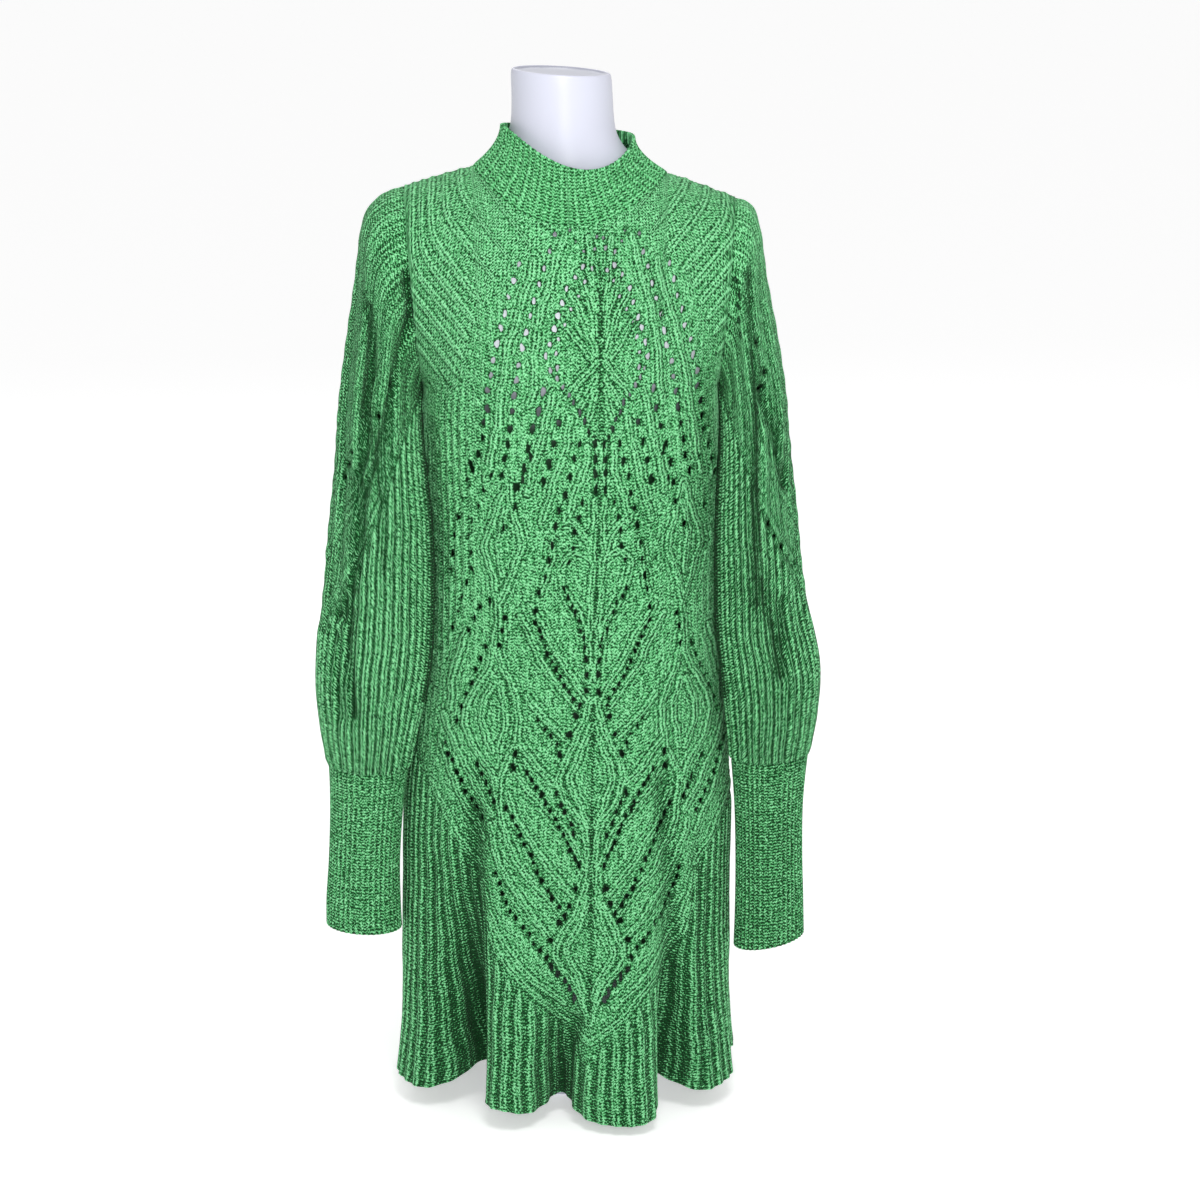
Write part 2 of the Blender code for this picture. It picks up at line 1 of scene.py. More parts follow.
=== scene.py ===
"""Knit dress on its form: a mock-neck mini dress in a thick green boucle lace knit, with
balloon sleeves in long cuffs and a flounced hem, worn by a smooth white limbless form.
Metres, +Z up, the front faces -Y."""
import bmesh
import bpy
import numpy as np
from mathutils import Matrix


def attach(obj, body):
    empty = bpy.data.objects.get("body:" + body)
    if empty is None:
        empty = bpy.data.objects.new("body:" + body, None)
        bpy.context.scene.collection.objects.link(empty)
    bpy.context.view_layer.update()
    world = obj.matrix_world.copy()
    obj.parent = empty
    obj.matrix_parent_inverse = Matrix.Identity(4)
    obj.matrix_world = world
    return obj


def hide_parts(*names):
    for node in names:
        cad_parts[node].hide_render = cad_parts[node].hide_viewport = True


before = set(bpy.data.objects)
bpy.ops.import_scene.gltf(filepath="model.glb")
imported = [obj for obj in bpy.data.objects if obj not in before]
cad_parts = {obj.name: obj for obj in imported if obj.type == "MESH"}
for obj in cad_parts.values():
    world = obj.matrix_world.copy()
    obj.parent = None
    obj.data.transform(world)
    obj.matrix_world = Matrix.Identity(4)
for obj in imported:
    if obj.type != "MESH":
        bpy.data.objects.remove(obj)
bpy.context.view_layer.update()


# ------------------------------------------------------------------ the form
# A limbless torso form in moulded plastic with a satin white face.  Its neck is cut off
# level with a shallow grey dish in it, and the dress hides the rest.
class Socket:
    """A shader socket that can be used in sums: each operator adds a Math node."""

    def __init__(self, tree, end):
        self.tree = tree
        self.end = end

    def node(self, kind, settings=(), inputs=(), output=0):
        """Add a node: set its settings, then give its inputs values or links."""
        made = self.tree.nodes.new(kind)
        for name, value in dict(settings).items():
            if name == "stops":
                ramp = made.color_ramp.elements
                while len(ramp) < len(value):
                    ramp.new(0.5)
                for stop, (place, colour) in zip(ramp, value):
                    stop.position = place
                    stop.color = (*colour, 1.0)
            else:
                setattr(made, name, value)
        for name, value in dict(inputs).items():
            if isinstance(value, Socket):
                self.tree.links.new(value.end, made.inputs[name])
            else:
                made.inputs[name].default_value = value
        return Socket(self.tree, made.outputs[output])

    def math(self, operation, *values, clamp=False):
        """A Math node on this socket and the other values."""
        return self.node("ShaderNodeMath", {"operation": operation, "use_clamp": clamp},
                         dict(enumerate((self, *values))))

    def __add__(self, other):
        return self.math("ADD", other)

    def __sub__(self, other):
        return self.math("SUBTRACT", other)

    def __mul__(self, other):
        return self.math("MULTIPLY", other)

    def __truediv__(self, other):
        return self.math("DIVIDE", other)

    def __pow__(self, other):
        return self.math("POWER", other)

    def __rsub__(self, other):
        return self.node("ShaderNodeMath", {"operation": "SUBTRACT"}, {0: other, 1: self})

    __radd__ = __add__
    __rmul__ = __mul__

    def bell(self, centre, width):
        """1 at the centre, falling away on both sides as a bell of that width."""
        return (((self - centre) / width) ** 2.0 * -1.0).math("EXPONENT")

    def noise(self, scale, detail):
        """Noise read at this place, of that scale and detail."""
        return self.node("ShaderNodeTexNoise", (),
                         {"Vector": self, "Scale": scale, "Detail": detail})

    def bump(self, strength, distance):
        """The normal that this height gives."""
        return self.node("ShaderNodeBump", (), {"Strength": strength, "Distance": distance,
                                                "Height": self})

    def mix(self, low, high):
        """A colour between two, by this socket."""
        return self.node("ShaderNodeMix", {"data_type": "RGBA"}, {0: self, 6: low, 7: high}, 2)


def start_material(name):
    """A new material: its Principled shader, and a socket to build its nodes from."""
    made = bpy.data.materials.new(name)
    made.use_nodes = True
    tree = made.node_tree
    shader = tree.nodes["Principled BSDF"]
    return made, shader, Socket(tree, shader.outputs[0])


def join_to(shader, name, socket):
    """Link a socket to one of the shader's inputs."""
    shader.id_data.links.new(socket.end, shader.inputs[name])


# The neck's dish is an oval in its level top.  Below the shoulders the form is seen only
# through the lace: there its colour is painted dark green as the shade of the dress, and a band
# under the thin chest glows with painted light, as if light came through the lace.
DISH_MIDDLE = -0.008
DISH_HALF_WIDTH = 0.0432
DISH_HALF_DEPTH = 0.0457
DISH_HEIGHT = 0.970
DISH_TILT = 0.06
SHADE_TOP = 0.700
SHADE_FOOT = 0.06
LIT_FROM = 0.69
LIT_TO = 0.85

form_satin, shader, any_socket = start_material("form_satin")
place = any_socket.node("ShaderNodeTexCoord", output=3)
out, back, height = (any_socket.node("ShaderNodeSeparateXYZ", (), {0: place}, axis)
                     for axis in (0, 1, 2))
mottle = place.noise(9.0, 3.0)
tone = mottle.mix((0.52, 0.53, 0.62, 1.0), (0.57, 0.58, 0.67, 1.0))
in_dish = (1.0 - ((out - DISH_MIDDLE) / DISH_HALF_WIDTH) ** 2.0
           - (back / DISH_HALF_DEPTH) ** 2.0) * 14.0
above_rim = (height + out * DISH_TILT - DISH_HEIGHT) * 900.0
tone = in_dish.math("MINIMUM", above_rim, clamp=True).mix(tone, (0.34, 0.35, 0.42, 1.0))
# painted shade: below SHADE_TOP the form's colour turns dark green
in_shade = ((SHADE_TOP - height) * 25.0).math("MINIMUM", (height - SHADE_FOOT) * 12.0,
                                              clamp=True)
join_to(shader, "Base Color", in_shade.mix(tone, (0.028, 0.105, 0.042, 1.0)))
join_to(shader, "Roughness", mottle * 0.12 + 0.30)
# painted light: a band of the chest glows, standing in for light through the lace
lit = ((height - LIT_FROM) * 20.0).math("MINIMUM", (LIT_TO - height) * 20.0, clamp=True)
join_to(shader, "Emission Color", lit.mix((0, 0, 0, 1), (0.53, 0.53, 0.58, 1.0)))
shader.inputs["Emission Strength"].default_value = 0.95
join_to(shader, "Normal", place.noise(420.0, 2.0).bump(0.06, 0.0006))


def finish_piece(piece, node):
    """A piece rides on the only body and stands for its node, which is hidden."""
    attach(piece, "root")
    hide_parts(node)


def smoothed_copy(name, node, levels):
    """The solid's own surface as quads, rounded by a Subdivision Surface."""
    mesh = bpy.data.meshes.new(name)
    work = bmesh.new()
    work.from_mesh(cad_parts[node].data)
    bmesh.ops.remove_doubles(work, verts=work.verts, dist=0.00002)
    bmesh.ops.join_triangles(work, faces=work.faces, cmp_seam=False, cmp_sharp=False,
                             cmp_uvs=False, cmp_vcols=False, cmp_materials=False,
                             angle_face_threshold=0.7, angle_shape_threshold=1.2)
    work.to_mesh(mesh)
    work.free()
    mesh.shade_smooth()
    piece = bpy.data.objects.new(name, mesh)
    bpy.context.scene.collection.objects.link(piece)
    rounding = piece.modifiers.new("rounding", "SUBSURF")
    rounding.levels = levels
    rounding.render_levels = levels
    return piece


torso = smoothed_copy("form_torso", "dress_form", 2)
torso.data.materials.clear()
torso.data.materials.append(form_satin)
finish_piece(torso, "dress_form")


# ------------------------------------------------------------------ the yarn
# A thick boucle yarn of wool and cotton in leaf green: slubs and small loops of a lighter green
# stand out over hollows darkened with painted shade, and twin raised wales run through the
# knit.
WALE_PITCH = 0.0044
COURSE_PITCH = 0.0030
TWIN_HALF = 0.00175
RIPPLE_PITCH = 0.0042
RIPPLES_FROM = 0.004
RIPPLES_TO = 0.019
TURN = 2 * np.pi
YARN_SHADES = ((0.00, (0.003, 0.040, 0.009)), (0.25, (0.020, 0.155, 0.042)),
               (0.50, (0.073, 0.350, 0.118)), (0.75, (0.155, 0.560, 0.230)),
               (1.00, (0.280, 0.740, 0.370)))


def yarn_material(name, contrast):
    """Green boucle knit, from the marks of its piece.  `across` and `along` are distances over
    and along the wales.  `line` is the distance in millimetres to the nearest pair of raised
    wales, and `faint` is 1 where such pairs sink into the cloth.  `hollow` is painted shade: 1
    in the bottom of a rib, more in folds and creases, and below 0 where light is painted on.
    `rim` is 1 at the edge of an eyelet, which is painted darker.  `lean` tells which way the
    loops lean, from -1 to 1.  The contrast is that of the strokes of yarn."""
    made, shader, any_socket = start_material(name)

    def strokes(slant, seed):
        """Short strokes of yarn that lean to one side of the wale."""
        skewed = any_socket.node("ShaderNodeCombineXYZ", (),
                                 {0: across + along * slant + seed,
                                  1: (along - across * slant) * 0.30})
        return any_socket.node("ShaderNodeTexNoise", {"noise_dimensions": "2D"},
                               {"Vector": skewed, "Scale": 720.0, "Detail": 1.0,
                                "Roughness": 0.55, "Distortion": 0.45})

    across, along, line, hollow, rim, lean, faint = (
        any_socket.node("ShaderNodeAttribute", {"attribute_name": label}, (), 2)
        for label in ("across", "along", "line", "hollow", "rim", "lean", "faint"))
    place = any_socket.node("ShaderNodeTexCoord", output=3)
    patches = place.noise(28.0, 2.0)
    wobble = place.noise(160.0, 1.0) - 0.5

    # each wale is a column of loops whose two legs lean against each other
    wale = (across / WALE_PITCH + wobble * 0.9).math("FRACT")
    leg = (wale * TURN).math("SINE") * 0.9 + (patches - 0.5) * 2.0 + lean * 2.0
    leg = leg.math("ADD", 0.5, clamp=True)
    legs = strokes(0.75, 0.0) * leg + strokes(-0.75, 3.7) * (1.0 - leg)
    course = along / COURSE_PITCH + wobble * 1.1 + (wale - 0.5).math("ABSOLUTE") * 0.9
    course = (course * TURN).math("SINE") * 0.5 + 0.5
    knots = any_socket.node("ShaderNodeTexVoronoi", {"feature": "F1"},
                            {"Vector": place, "Scale": 330.0, "Randomness": 1.0})
    pits = (1.0 - course) * (1.0 - (wale * np.pi).math("SINE"))
    ladder = hollow * (1.0 - course)

    # twin wales stand out over the gap between them, and ripples run beside them
    raised = 1.0 - faint
    twin = line.bell(TWIN_HALF * 1000, 0.85) * raised
    gap = (line.bell(0.0, 0.75) + line.bell(4.1, 1.1) * 0.7) * raised
    slanted = lean.math("ABSOLUTE")
    beside = (line - RIPPLES_FROM * 1000).math("MINIMUM", RIPPLES_TO * 1000 - line, clamp=True)
    ripple = (line - TWIN_HALF * 1000) * (TURN / (RIPPLE_PITCH * 1000))
    beside = beside * ripple.math("COSINE") * (1.0 - slanted * 0.85)
    height = (legs * 1.8 + course * 0.30 - pits * 0.6 - knots * 0.25 + twin * 0.95
              - gap * 0.70 + beside * 0.40 - ladder * 0.7 + rim * 0.3)
    join_to(shader, "Normal", height.bump(0.7, 0.0013))

    # colour: painted shade darkens the gaps between twin wales, the pits and ladder dots
    # between loops, the hollows and the eyelets' rims, and a painted highlight lightens the
    # raised twin wales
    light = (0.67 + (legs - 0.5) * contrast + (course - 0.5) * 0.34 + (0.42 - knots) * 0.28
             + (patches - 0.5) * 0.15 + twin * 0.42 - gap * 0.50 + beside * 0.16
             + slanted * 0.06 - pits * (0.46 + slanted * 0.40) - hollow * 0.32
             - ladder * 0.80 - rim * 0.50)
    join_to(shader, "Base Color", light.node("ShaderNodeValToRGB", {"stops": YARN_SHADES},
                                             {0: light}))
    shader.inputs["Roughness"].default_value = 0.88
    shader.inputs["Specular IOR Level"].default_value = 0.12
    shader.inputs["Sheen Weight"].default_value = 0.08
    shader.inputs["Sheen Roughness"].default_value = 0.5
    shader.inputs["Sheen Tint"].default_value = (0.55, 0.95, 0.62, 1.0)
    return made


# ------------------------------------------------------------------ front and back
# Each is knitted in one piece from hem to shoulder.  The wall is two rows of yarn thick,
# its sides meet in a sunken seam and its hem rolls in.
DOWN = np.array((0, 0, -1.0))
FAR = 0.02
WALL = 0.0024
ROUNDNESS = 2.2
HEM_HEIGHT = 0.012
HEM_SIDE_RISE = 0.012
UNDERARM = 0.690
UNDERARM_HALF = 0.1363
CHEST_FRONT = 0.115
CHEST_BACK = 0.106
SHOULDER_HALF = 0.152
RIDGE_PEAK = 0.9065
RIDGE_FALL = 0.51
RIDGE_POWER = 1.35
SHOULDER_LEAN = 0.035
ARMHOLE_DEPTH = 0.062
ARMHOLE_REACH = 4
NECK_HALF = 0.089
NECK_FRONT = 0.080
NECK_BACK = 0.068
YOKE_LENGTH = 0.235
SIDE_RADIUS = 0.12

BODY_COLUMNS = ("height", "half_width", "front", "back", "centre_x")
BODY_SECTIONS = np.array((
    (0.000, 0.1640, 0.142, 0.138, -0.006),
    (0.060, 0.1590, 0.136, 0.131, -0.005),
    (0.120, 0.1560, 0.129, 0.123, -0.005),
    (0.200, 0.1545, 0.121, 0.115, -0.005),
    (0.300, 0.1535, 0.115, 0.109, -0.003),
    (0.380, 0.1460, 0.111, 0.105, 0.000),
    (0.460, 0.1405, 0.109, 0.103, 0.0025),
    (0.540, 0.1395, 0.110, 0.102, 0.0025),
    (0.620, 0.1395, 0.114, 0.104, 0.001),
    (0.660, 0.1385, 0.115, 0.1055, 0.000),
    (UNDERARM, UNDERARM_HALF, CHEST_FRONT, CHEST_BACK, 0.000),
))

# Folds of the flounce: bearing in degrees from the front, reach at the hem, spread,
# the height over which it fades, and how far it lifts the hem.
HEM_FOLDS = (
    (-74.0, 0.006, 12.0, 0.16, 0.003),
    (-40.0, -0.080, 10.0, 0.25, 0.030),
    (-18.0, 0.012, 8.5, 0.20, 0.010),
    (-2.5, -0.048, 6.0, 0.19, 0.010),
    (20.0, 0.020, 12.0, 0.22, -0.002),
    (40.0, -0.070, 8.0, 0.22, 0.022),
    (68.0, 0.006, 12.0, 0.16, 0.003),
    (86.0, -0.014, 9.0, 0.14, 0.002),
    (110.0, 0.008, 10.0, 0.18, 0.000),
    (134.0, -0.050, 8.5, 0.21, 0.012),
    (156.0, 0.010, 10.0, 0.20, 0.002),
    (177.0, -0.056, 8.0, 0.24, 0.014),
    (198.0, 0.010, 10.0, 0.19, 0.000),
    (221.0, -0.046, 8.5, 0.18, 0.010),
    (246.0, 0.010, 11.0, 0.20, 0.000),
    (272.0, -0.014, 9.0, 0.13, 0.001),
)
FOLD_FADE = 1.4


def smooth(at, knots, values):
    """A cubic through the values, with the slope at each knot taken from its neighbours,
    and straight on beyond the ends."""
    at = np.asarray(at, dtype=float)
    knots = np.asarray(knots, dtype=float)
    values = np.asarray(values, dtype=float)
    slopes = np.gradient(values, knots)
    left = np.clip(np.searchsorted(knots, at, side="right") - 1, 0, len(knots) - 2)
    span = knots[left + 1] - knots[left]
    t = (at - knots[left]) / span
    rise = values[left + 1] - values[left]
    inside = (values[left] + span * slopes[left] * (t - 2 * t**2 + t**3)
              + rise * (3 * t**2 - 2 * t**3) + span * slopes[left + 1] * (t**3 - t**2))
    before = values[left] + span * t * slopes[left]
    after = values[left + 1] + span * (t - 1) * slopes[left + 1]
    return np.where(t < 0, before, np.where(t > 1, after, inside))


def power(value, exponent):
    """Raise to a power and keep the sign."""
    return np.sign(value) * np.abs(value) ** exponent


def turn_from(bearing, centre):
    """Degrees from a centre to a bearing, from -180 to 180."""
    return (np.degrees(bearing) - centre + 180.0) % 360.0 - 180.0


def bell(distance, width):
    """1 at no distance, falling away on both sides as a bell of that width."""
    return np.exp(-(distance / width) ** 2)


def wave(phase):
    """A wave from 0 to 1 that is 1 at phase 0."""
    return 0.5 + 0.5 * np.cos(phase)


def hem_folds(bearing, height):
    """Reach of the flounce's folds and the lift of the hem: a bell round each bearing
    that fades with height."""
    reach = np.zeros(np.broadcast(bearing, height).shape)
    lift = np.zeros_like(reach)
    for centre, depth, spread, fades_at, hem_lift in HEM_FOLDS:
        bump = bell(turn_from(bearing, centre), spread)
        fade = np.clip(1.0 - (height - HEM_HEIGHT) / fades_at, 0.0, 1.0) ** FOLD_FADE
        reach = reach + depth * bump * fade
        lift = lift + hem_lift * bump
    return reach, lift


def skirt(bearing, row):
    """The body from the hem (row 0) to the underarm (row 1): ovals of the section table,
    with the folds added along each bearing."""
    _, lift = hem_folds(bearing, HEM_HEIGHT)
    hem = HEM_HEIGHT + HEM_SIDE_RISE * np.sin(bearing) ** 2 + lift
    height = hem + (UNDERARM - hem) * row
    reach, _ = hem_folds(bearing, height)
    half, front, back, middle = (smooth(height, BODY_SECTIONS[:, 0], BODY_SECTIONS[:, column])
                                 for column in range(1, len(BODY_COLUMNS)))
    depth = np.where(np.cos(bearing) > 0, front, back)
    x = middle + half * power(np.sin(bearing), 2 / ROUNDNESS) + reach * np.sin(bearing)
    y = -depth * power(np.cos(bearing), 2 / ROUNDNESS) - reach * np.cos(bearing)
    return np.stack((x, y, height), -1)


def ridge_height(x):
    """Height of the shoulder lines: a peak less a power of the distance across."""
    return RIDGE_PEAK - RIDGE_FALL * np.abs(x) ** RIDGE_POWER - SHOULDER_LEAN * x


def over_shoulder(bearing, angle, side):
    """The body above the underarm: quarter ovals from the chest up to the shoulder line,
    opened towards the sides so that they end on the armhole."""
    sideways = np.sin(bearing)
    across = power(sideways, 2 / ROUNDNESS)
    chest = CHEST_FRONT if side > 0 else CHEST_BACK
    opening = 2 * ARMHOLE_DEPTH * np.abs(np.cos(angle)) / chest
    section = (1 - (1 - opening**ROUNDNESS) * np.minimum(sideways**2, 1)) ** (1 / ROUNDNESS)
    rise = np.abs(np.cos(angle)) ** (1 + np.abs(sideways) ** ARMHOLE_REACH)
    x = (UNDERARM_HALF + (SHOULDER_HALF - UNDERARM_HALF) * rise) * across
    y = -side * chest * section * np.sin(angle)
    z = UNDERARM + (ridge_height(SHOULDER_HALF * across) - UNDERARM) * rise
    return np.stack((x, y, z), -1)


def neck_angle(bearing, side):
    """Angle at which the yoke enters the collar's oval, found by halving, or 0 where it
    first comes to the shoulder line."""
    reach = NECK_FRONT if side > 0 else NECK_BACK
    low = np.zeros_like(bearing)
    high = np.full_like(bearing, np.pi / 2)
    for _ in range(40):
        middle = (low + high) / 2
        point = over_shoulder(bearing, middle, side)
        inside = (point[..., 0] / NECK_HALF) ** 2 + (point[..., 1] / reach) ** 2 < 1
        low = np.where(inside, middle, low)
        high = np.where(inside, high, middle)
    return np.where(low < 0.001, 0.0, low)


def body_surface(side):
    """The whole front or back as a function of bearing and a climb from 0 at the hem over
    1 at the underarm to 2 at the collar and shoulder seams."""
    known = np.linspace(-np.pi / 2, np.pi / 2, 721) + (0 if side > 0 else np.pi)
    tops = neck_angle(known, side)

    def surface(bearing, climb):
        top = np.interp(bearing, known, tops)
        angle = np.pi / 2 + (top - np.pi / 2) * np.clip(climb - 1, 0, None)
        low = skirt(bearing, np.minimum(climb, 1))
        high = over_shoulder(bearing, angle, side)
        return np.where((climb < 1)[..., None], low, high)
    return surface


def look_up(at, table):
    """Read a table of (place, value) pairs, straight between its rows."""
    return np.interp(at, *np.transpose(table))


def grid_slopes(points):
    """The steps of a grid of points along its columns and its rows, and the unit normals
    that their cross product gives."""
    over = np.gradient(points, axis=1)
    up = np.gradient(points, axis=0)
    normal = np.cross(over, up)
    return over, up, normal / np.maximum(np.linalg.norm(normal, axis=-1, keepdims=True), 1e-12)


def ring_normals(rings):
    """Unit normals of a grid whose rows are closed rings."""
    wrapped = np.concatenate((rings[:, -1:], rings, rings[:, :1]), axis=1)
    return grid_slopes(wrapped)[2][:, 1:-1]


def length_along(points):
    """Distance from the first point along a row of points to each of them."""
    return np.append(0, np.cumsum(np.linalg.norm(np.diff(points, axis=0), axis=1)))


def even_steps(line_of, low, high, spacing):
    """Values from low to high whose points on a line lie about the spacing apart."""
    fine = np.linspace(low, high, 4001)
    length = length_along(line_of(fine))
    count = int(length[-1] / spacing)
    return np.interp(np.linspace(0, length[-1], count + 1), length, fine)


def arc_across(points, column):
    """Distance over the surface along each row of a grid, from a column of it."""
    step = np.linalg.norm(np.diff(points, axis=1), axis=-1)
    length = np.concatenate((np.zeros((len(points), 1)), np.cumsum(step, axis=1)), axis=1)
    return length - np.take_along_axis(length, column[:, None], axis=1)


def arc_round(rings):
    """Distance round each closed ring from its front column, negative one way and positive
    the other, with its jump at the back.  The front lies a quarter of the way round."""
    quarter = rings.shape[1] // 4
    from_back = np.roll(rings, quarter, axis=1)
    return np.roll(arc_across(from_back, np.full(len(rings), 2 * quarter)), -quarter, axis=1)


def arc_along(points):
    """Distance over the surface up each column of a grid."""
    step = np.linalg.norm(np.diff(points, axis=0), axis=-1)
    return np.concatenate((np.zeros((1, points.shape[1])), np.cumsum(step, axis=0)), axis=0)


# The lace is a traditional pointelle of leaves over diamonds.  Its places are distances
# across from the lace's middle and heights, for the right half; the left half mirrors it.
LACE_MIDDLE = ((0.10, 0.0163), (0.22, 0.0183), (0.41, 0.0203), (0.46, 0.0203),
               (0.544, 0.0248), (0.65, 0.0276), (0.90, 0.0276))
LEFT_SCALE = ((0.10, 0.95), (0.40, 0.93), (0.55, 0.92), (0.70, 0.88), (0.84, 0.82))

TWIN_WALES = (
    ((0.0025, 0.652), (0.0022, 0.610)),
    ((0.0040, 0.734), (0.0105, 0.752), (0.0190, 0.772), (0.0275, 0.788)),
    ((0.0038, 0.752), (0.0085, 0.772), (0.0150, 0.792), (0.0190, 0.806)),
    ((0.0100, 0.731), (0.0190, 0.744), (0.0290, 0.757), (0.0360, 0.765)),
    ((0.0038, 0.775), (0.0070, 0.795), (0.0100, 0.815), (0.0110, 0.835)),
    ((0.0045, 0.727), (0.0120, 0.717), (0.0220, 0.706), (0.0320, 0.694)),
    ((0.0040, 0.714), (0.0100, 0.702), (0.0190, 0.687)),
    ((0.0040, 0.700), (0.0085, 0.688), (0.0120, 0.676)),
    ((0.0340, 0.836), (0.0430, 0.806), (0.0530, 0.774), (0.0590, 0.744), (0.0600, 0.712),
     (0.0640, 0.688)),
    ((0.0600, 0.816), (0.0700, 0.782), (0.0840, 0.738), (0.0900, 0.698), (0.0960, 0.656),
     (0.1040, 0.618)),
    ((0.0440, 0.700), (0.0480, 0.680), (0.0550, 0.652), (0.0610, 0.628), (0.0660, 0.606)),
    ((0.0280, 0.676), (0.0310, 0.654), (0.0370, 0.632), (0.0450, 0.606), (0.0520, 0.580)),
    ((0.0120, 0.650), (0.0150, 0.628), (0.0230, 0.604), (0.0300, 0.580)),
    ((0.0420, 0.560), (0.0440, 0.536), (0.0520, 0.512)),
    ((0.0084, 0.546), (0.0200, 0.552), (0.0320, 0.540), (0.0300, 0.520), (0.0145, 0.491),
     (0.0055, 0.461)),
    ((0.0045, 0.545), (0.0100, 0.562), (0.0190, 0.575), (0.0320, 0.588)),
    ((0.0040, 0.600), (0.0042, 0.560), (0.0042, 0.500), (0.0038, 0.430)),
    ((0.0600, 0.500), (0.0510, 0.487), (0.0300, 0.450), (0.0045, 0.412)),
    ((0.0680, 0.490), (0.0600, 0.474), (0.0493, 0.451), (0.0160, 0.405)),
    ((0.0620, 0.415), (0.0533, 0.404), (0.0243, 0.375)),
    ((0.0700, 0.372), (0.0560, 0.355), (0.0345, 0.332)),
    ((0.0720, 0.346), (0.0603, 0.327), (0.0405, 0.307), (0.0174, 0.277), (0.0080, 0.252)),
    ((0.0780, 0.322), (0.0740, 0.309), (0.0591, 0.281), (0.0329, 0.2445), (0.0168, 0.226)),
    ((0.0865, 0.325), (0.0815, 0.286), (0.0645, 0.251), (0.0385, 0.222), (0.0270, 0.206)),
    ((0.0960, 0.290), (0.0820, 0.247), (0.0595, 0.213), (0.0400, 0.189), (0.0315, 0.180)),
    ((0.1030, 0.235), (0.0905, 0.196), (0.0725, 0.167), (0.0510, 0.143), (0.0240, 0.120)),
    ((0.1010, 0.205), (0.0900, 0.178), (0.0690, 0.150), (0.0460, 0.124), (0.0180, 0.098),
     (0.0010, 0.086)),
    ((0.1500, 0.322), (0.1360, 0.297), (0.1240, 0.275), (0.1055, 0.245)),
    ((0.1420, 0.365), (0.1290, 0.331), (0.1180, 0.304), (0.1030, 0.276)),
    ((0.1380, 0.388), (0.1230, 0.352), (0.1060, 0.322), (0.0930, 0.300)),
    ((0.0020, 0.412), (0.0165, 0.371), (0.0309, 0.337), (0.0240, 0.315), (0.0080, 0.291),
     (0.0032, 0.268), (0.0034, 0.245), (0.0070, 0.226), (0.0275, 0.186), (0.0337, 0.168),
     (0.0171, 0.143), (0.0071, 0.127), (0.0015, 0.104)),
    ((0.0015, 0.388), (0.0100, 0.364), (0.0205, 0.338), (0.0110, 0.312), (0.0035, 0.292)),
    ((0.0015, 0.222), (0.0120, 0.196), (0.0220, 0.170), (0.0110, 0.148), (0.0025, 0.128)),
    ((0.0880, 0.500), (0.0900, 0.472), (0.0940, 0.446), (0.1080, 0.418), (0.1190, 0.392),
     (0.1080, 0.360), (0.0930, 0.338), (0.0882, 0.318)),
    ((0.0880, 0.500), (0.0880, 0.472), (0.0850, 0.446), (0.0740, 0.420), (0.0681, 0.397),
     (0.0740, 0.362), (0.0840, 0.340), (0.0882, 0.318)),
    ((0.0920, 0.425), (0.1030, 0.393), (0.0920, 0.360)),
    ((0.0860, 0.425), (0.0800, 0.397), (0.0860, 0.362)),
    ((0.0850, 0.612), (0.0960, 0.580), (0.1030, 0.552), (0.0950, 0.524), (0.0885, 0.500)),
    ((0.0830, 0.612), (0.0760, 0.582), (0.0700, 0.556), (0.0790, 0.526), (0.0872, 0.500)),
    ((0.0850, 0.592), (0.0895, 0.560), (0.0875, 0.528)),
    ((0.1160, 0.470), (0.1250, 0.446), (0.1310, 0.420), (0.1330, 0.395)),
)

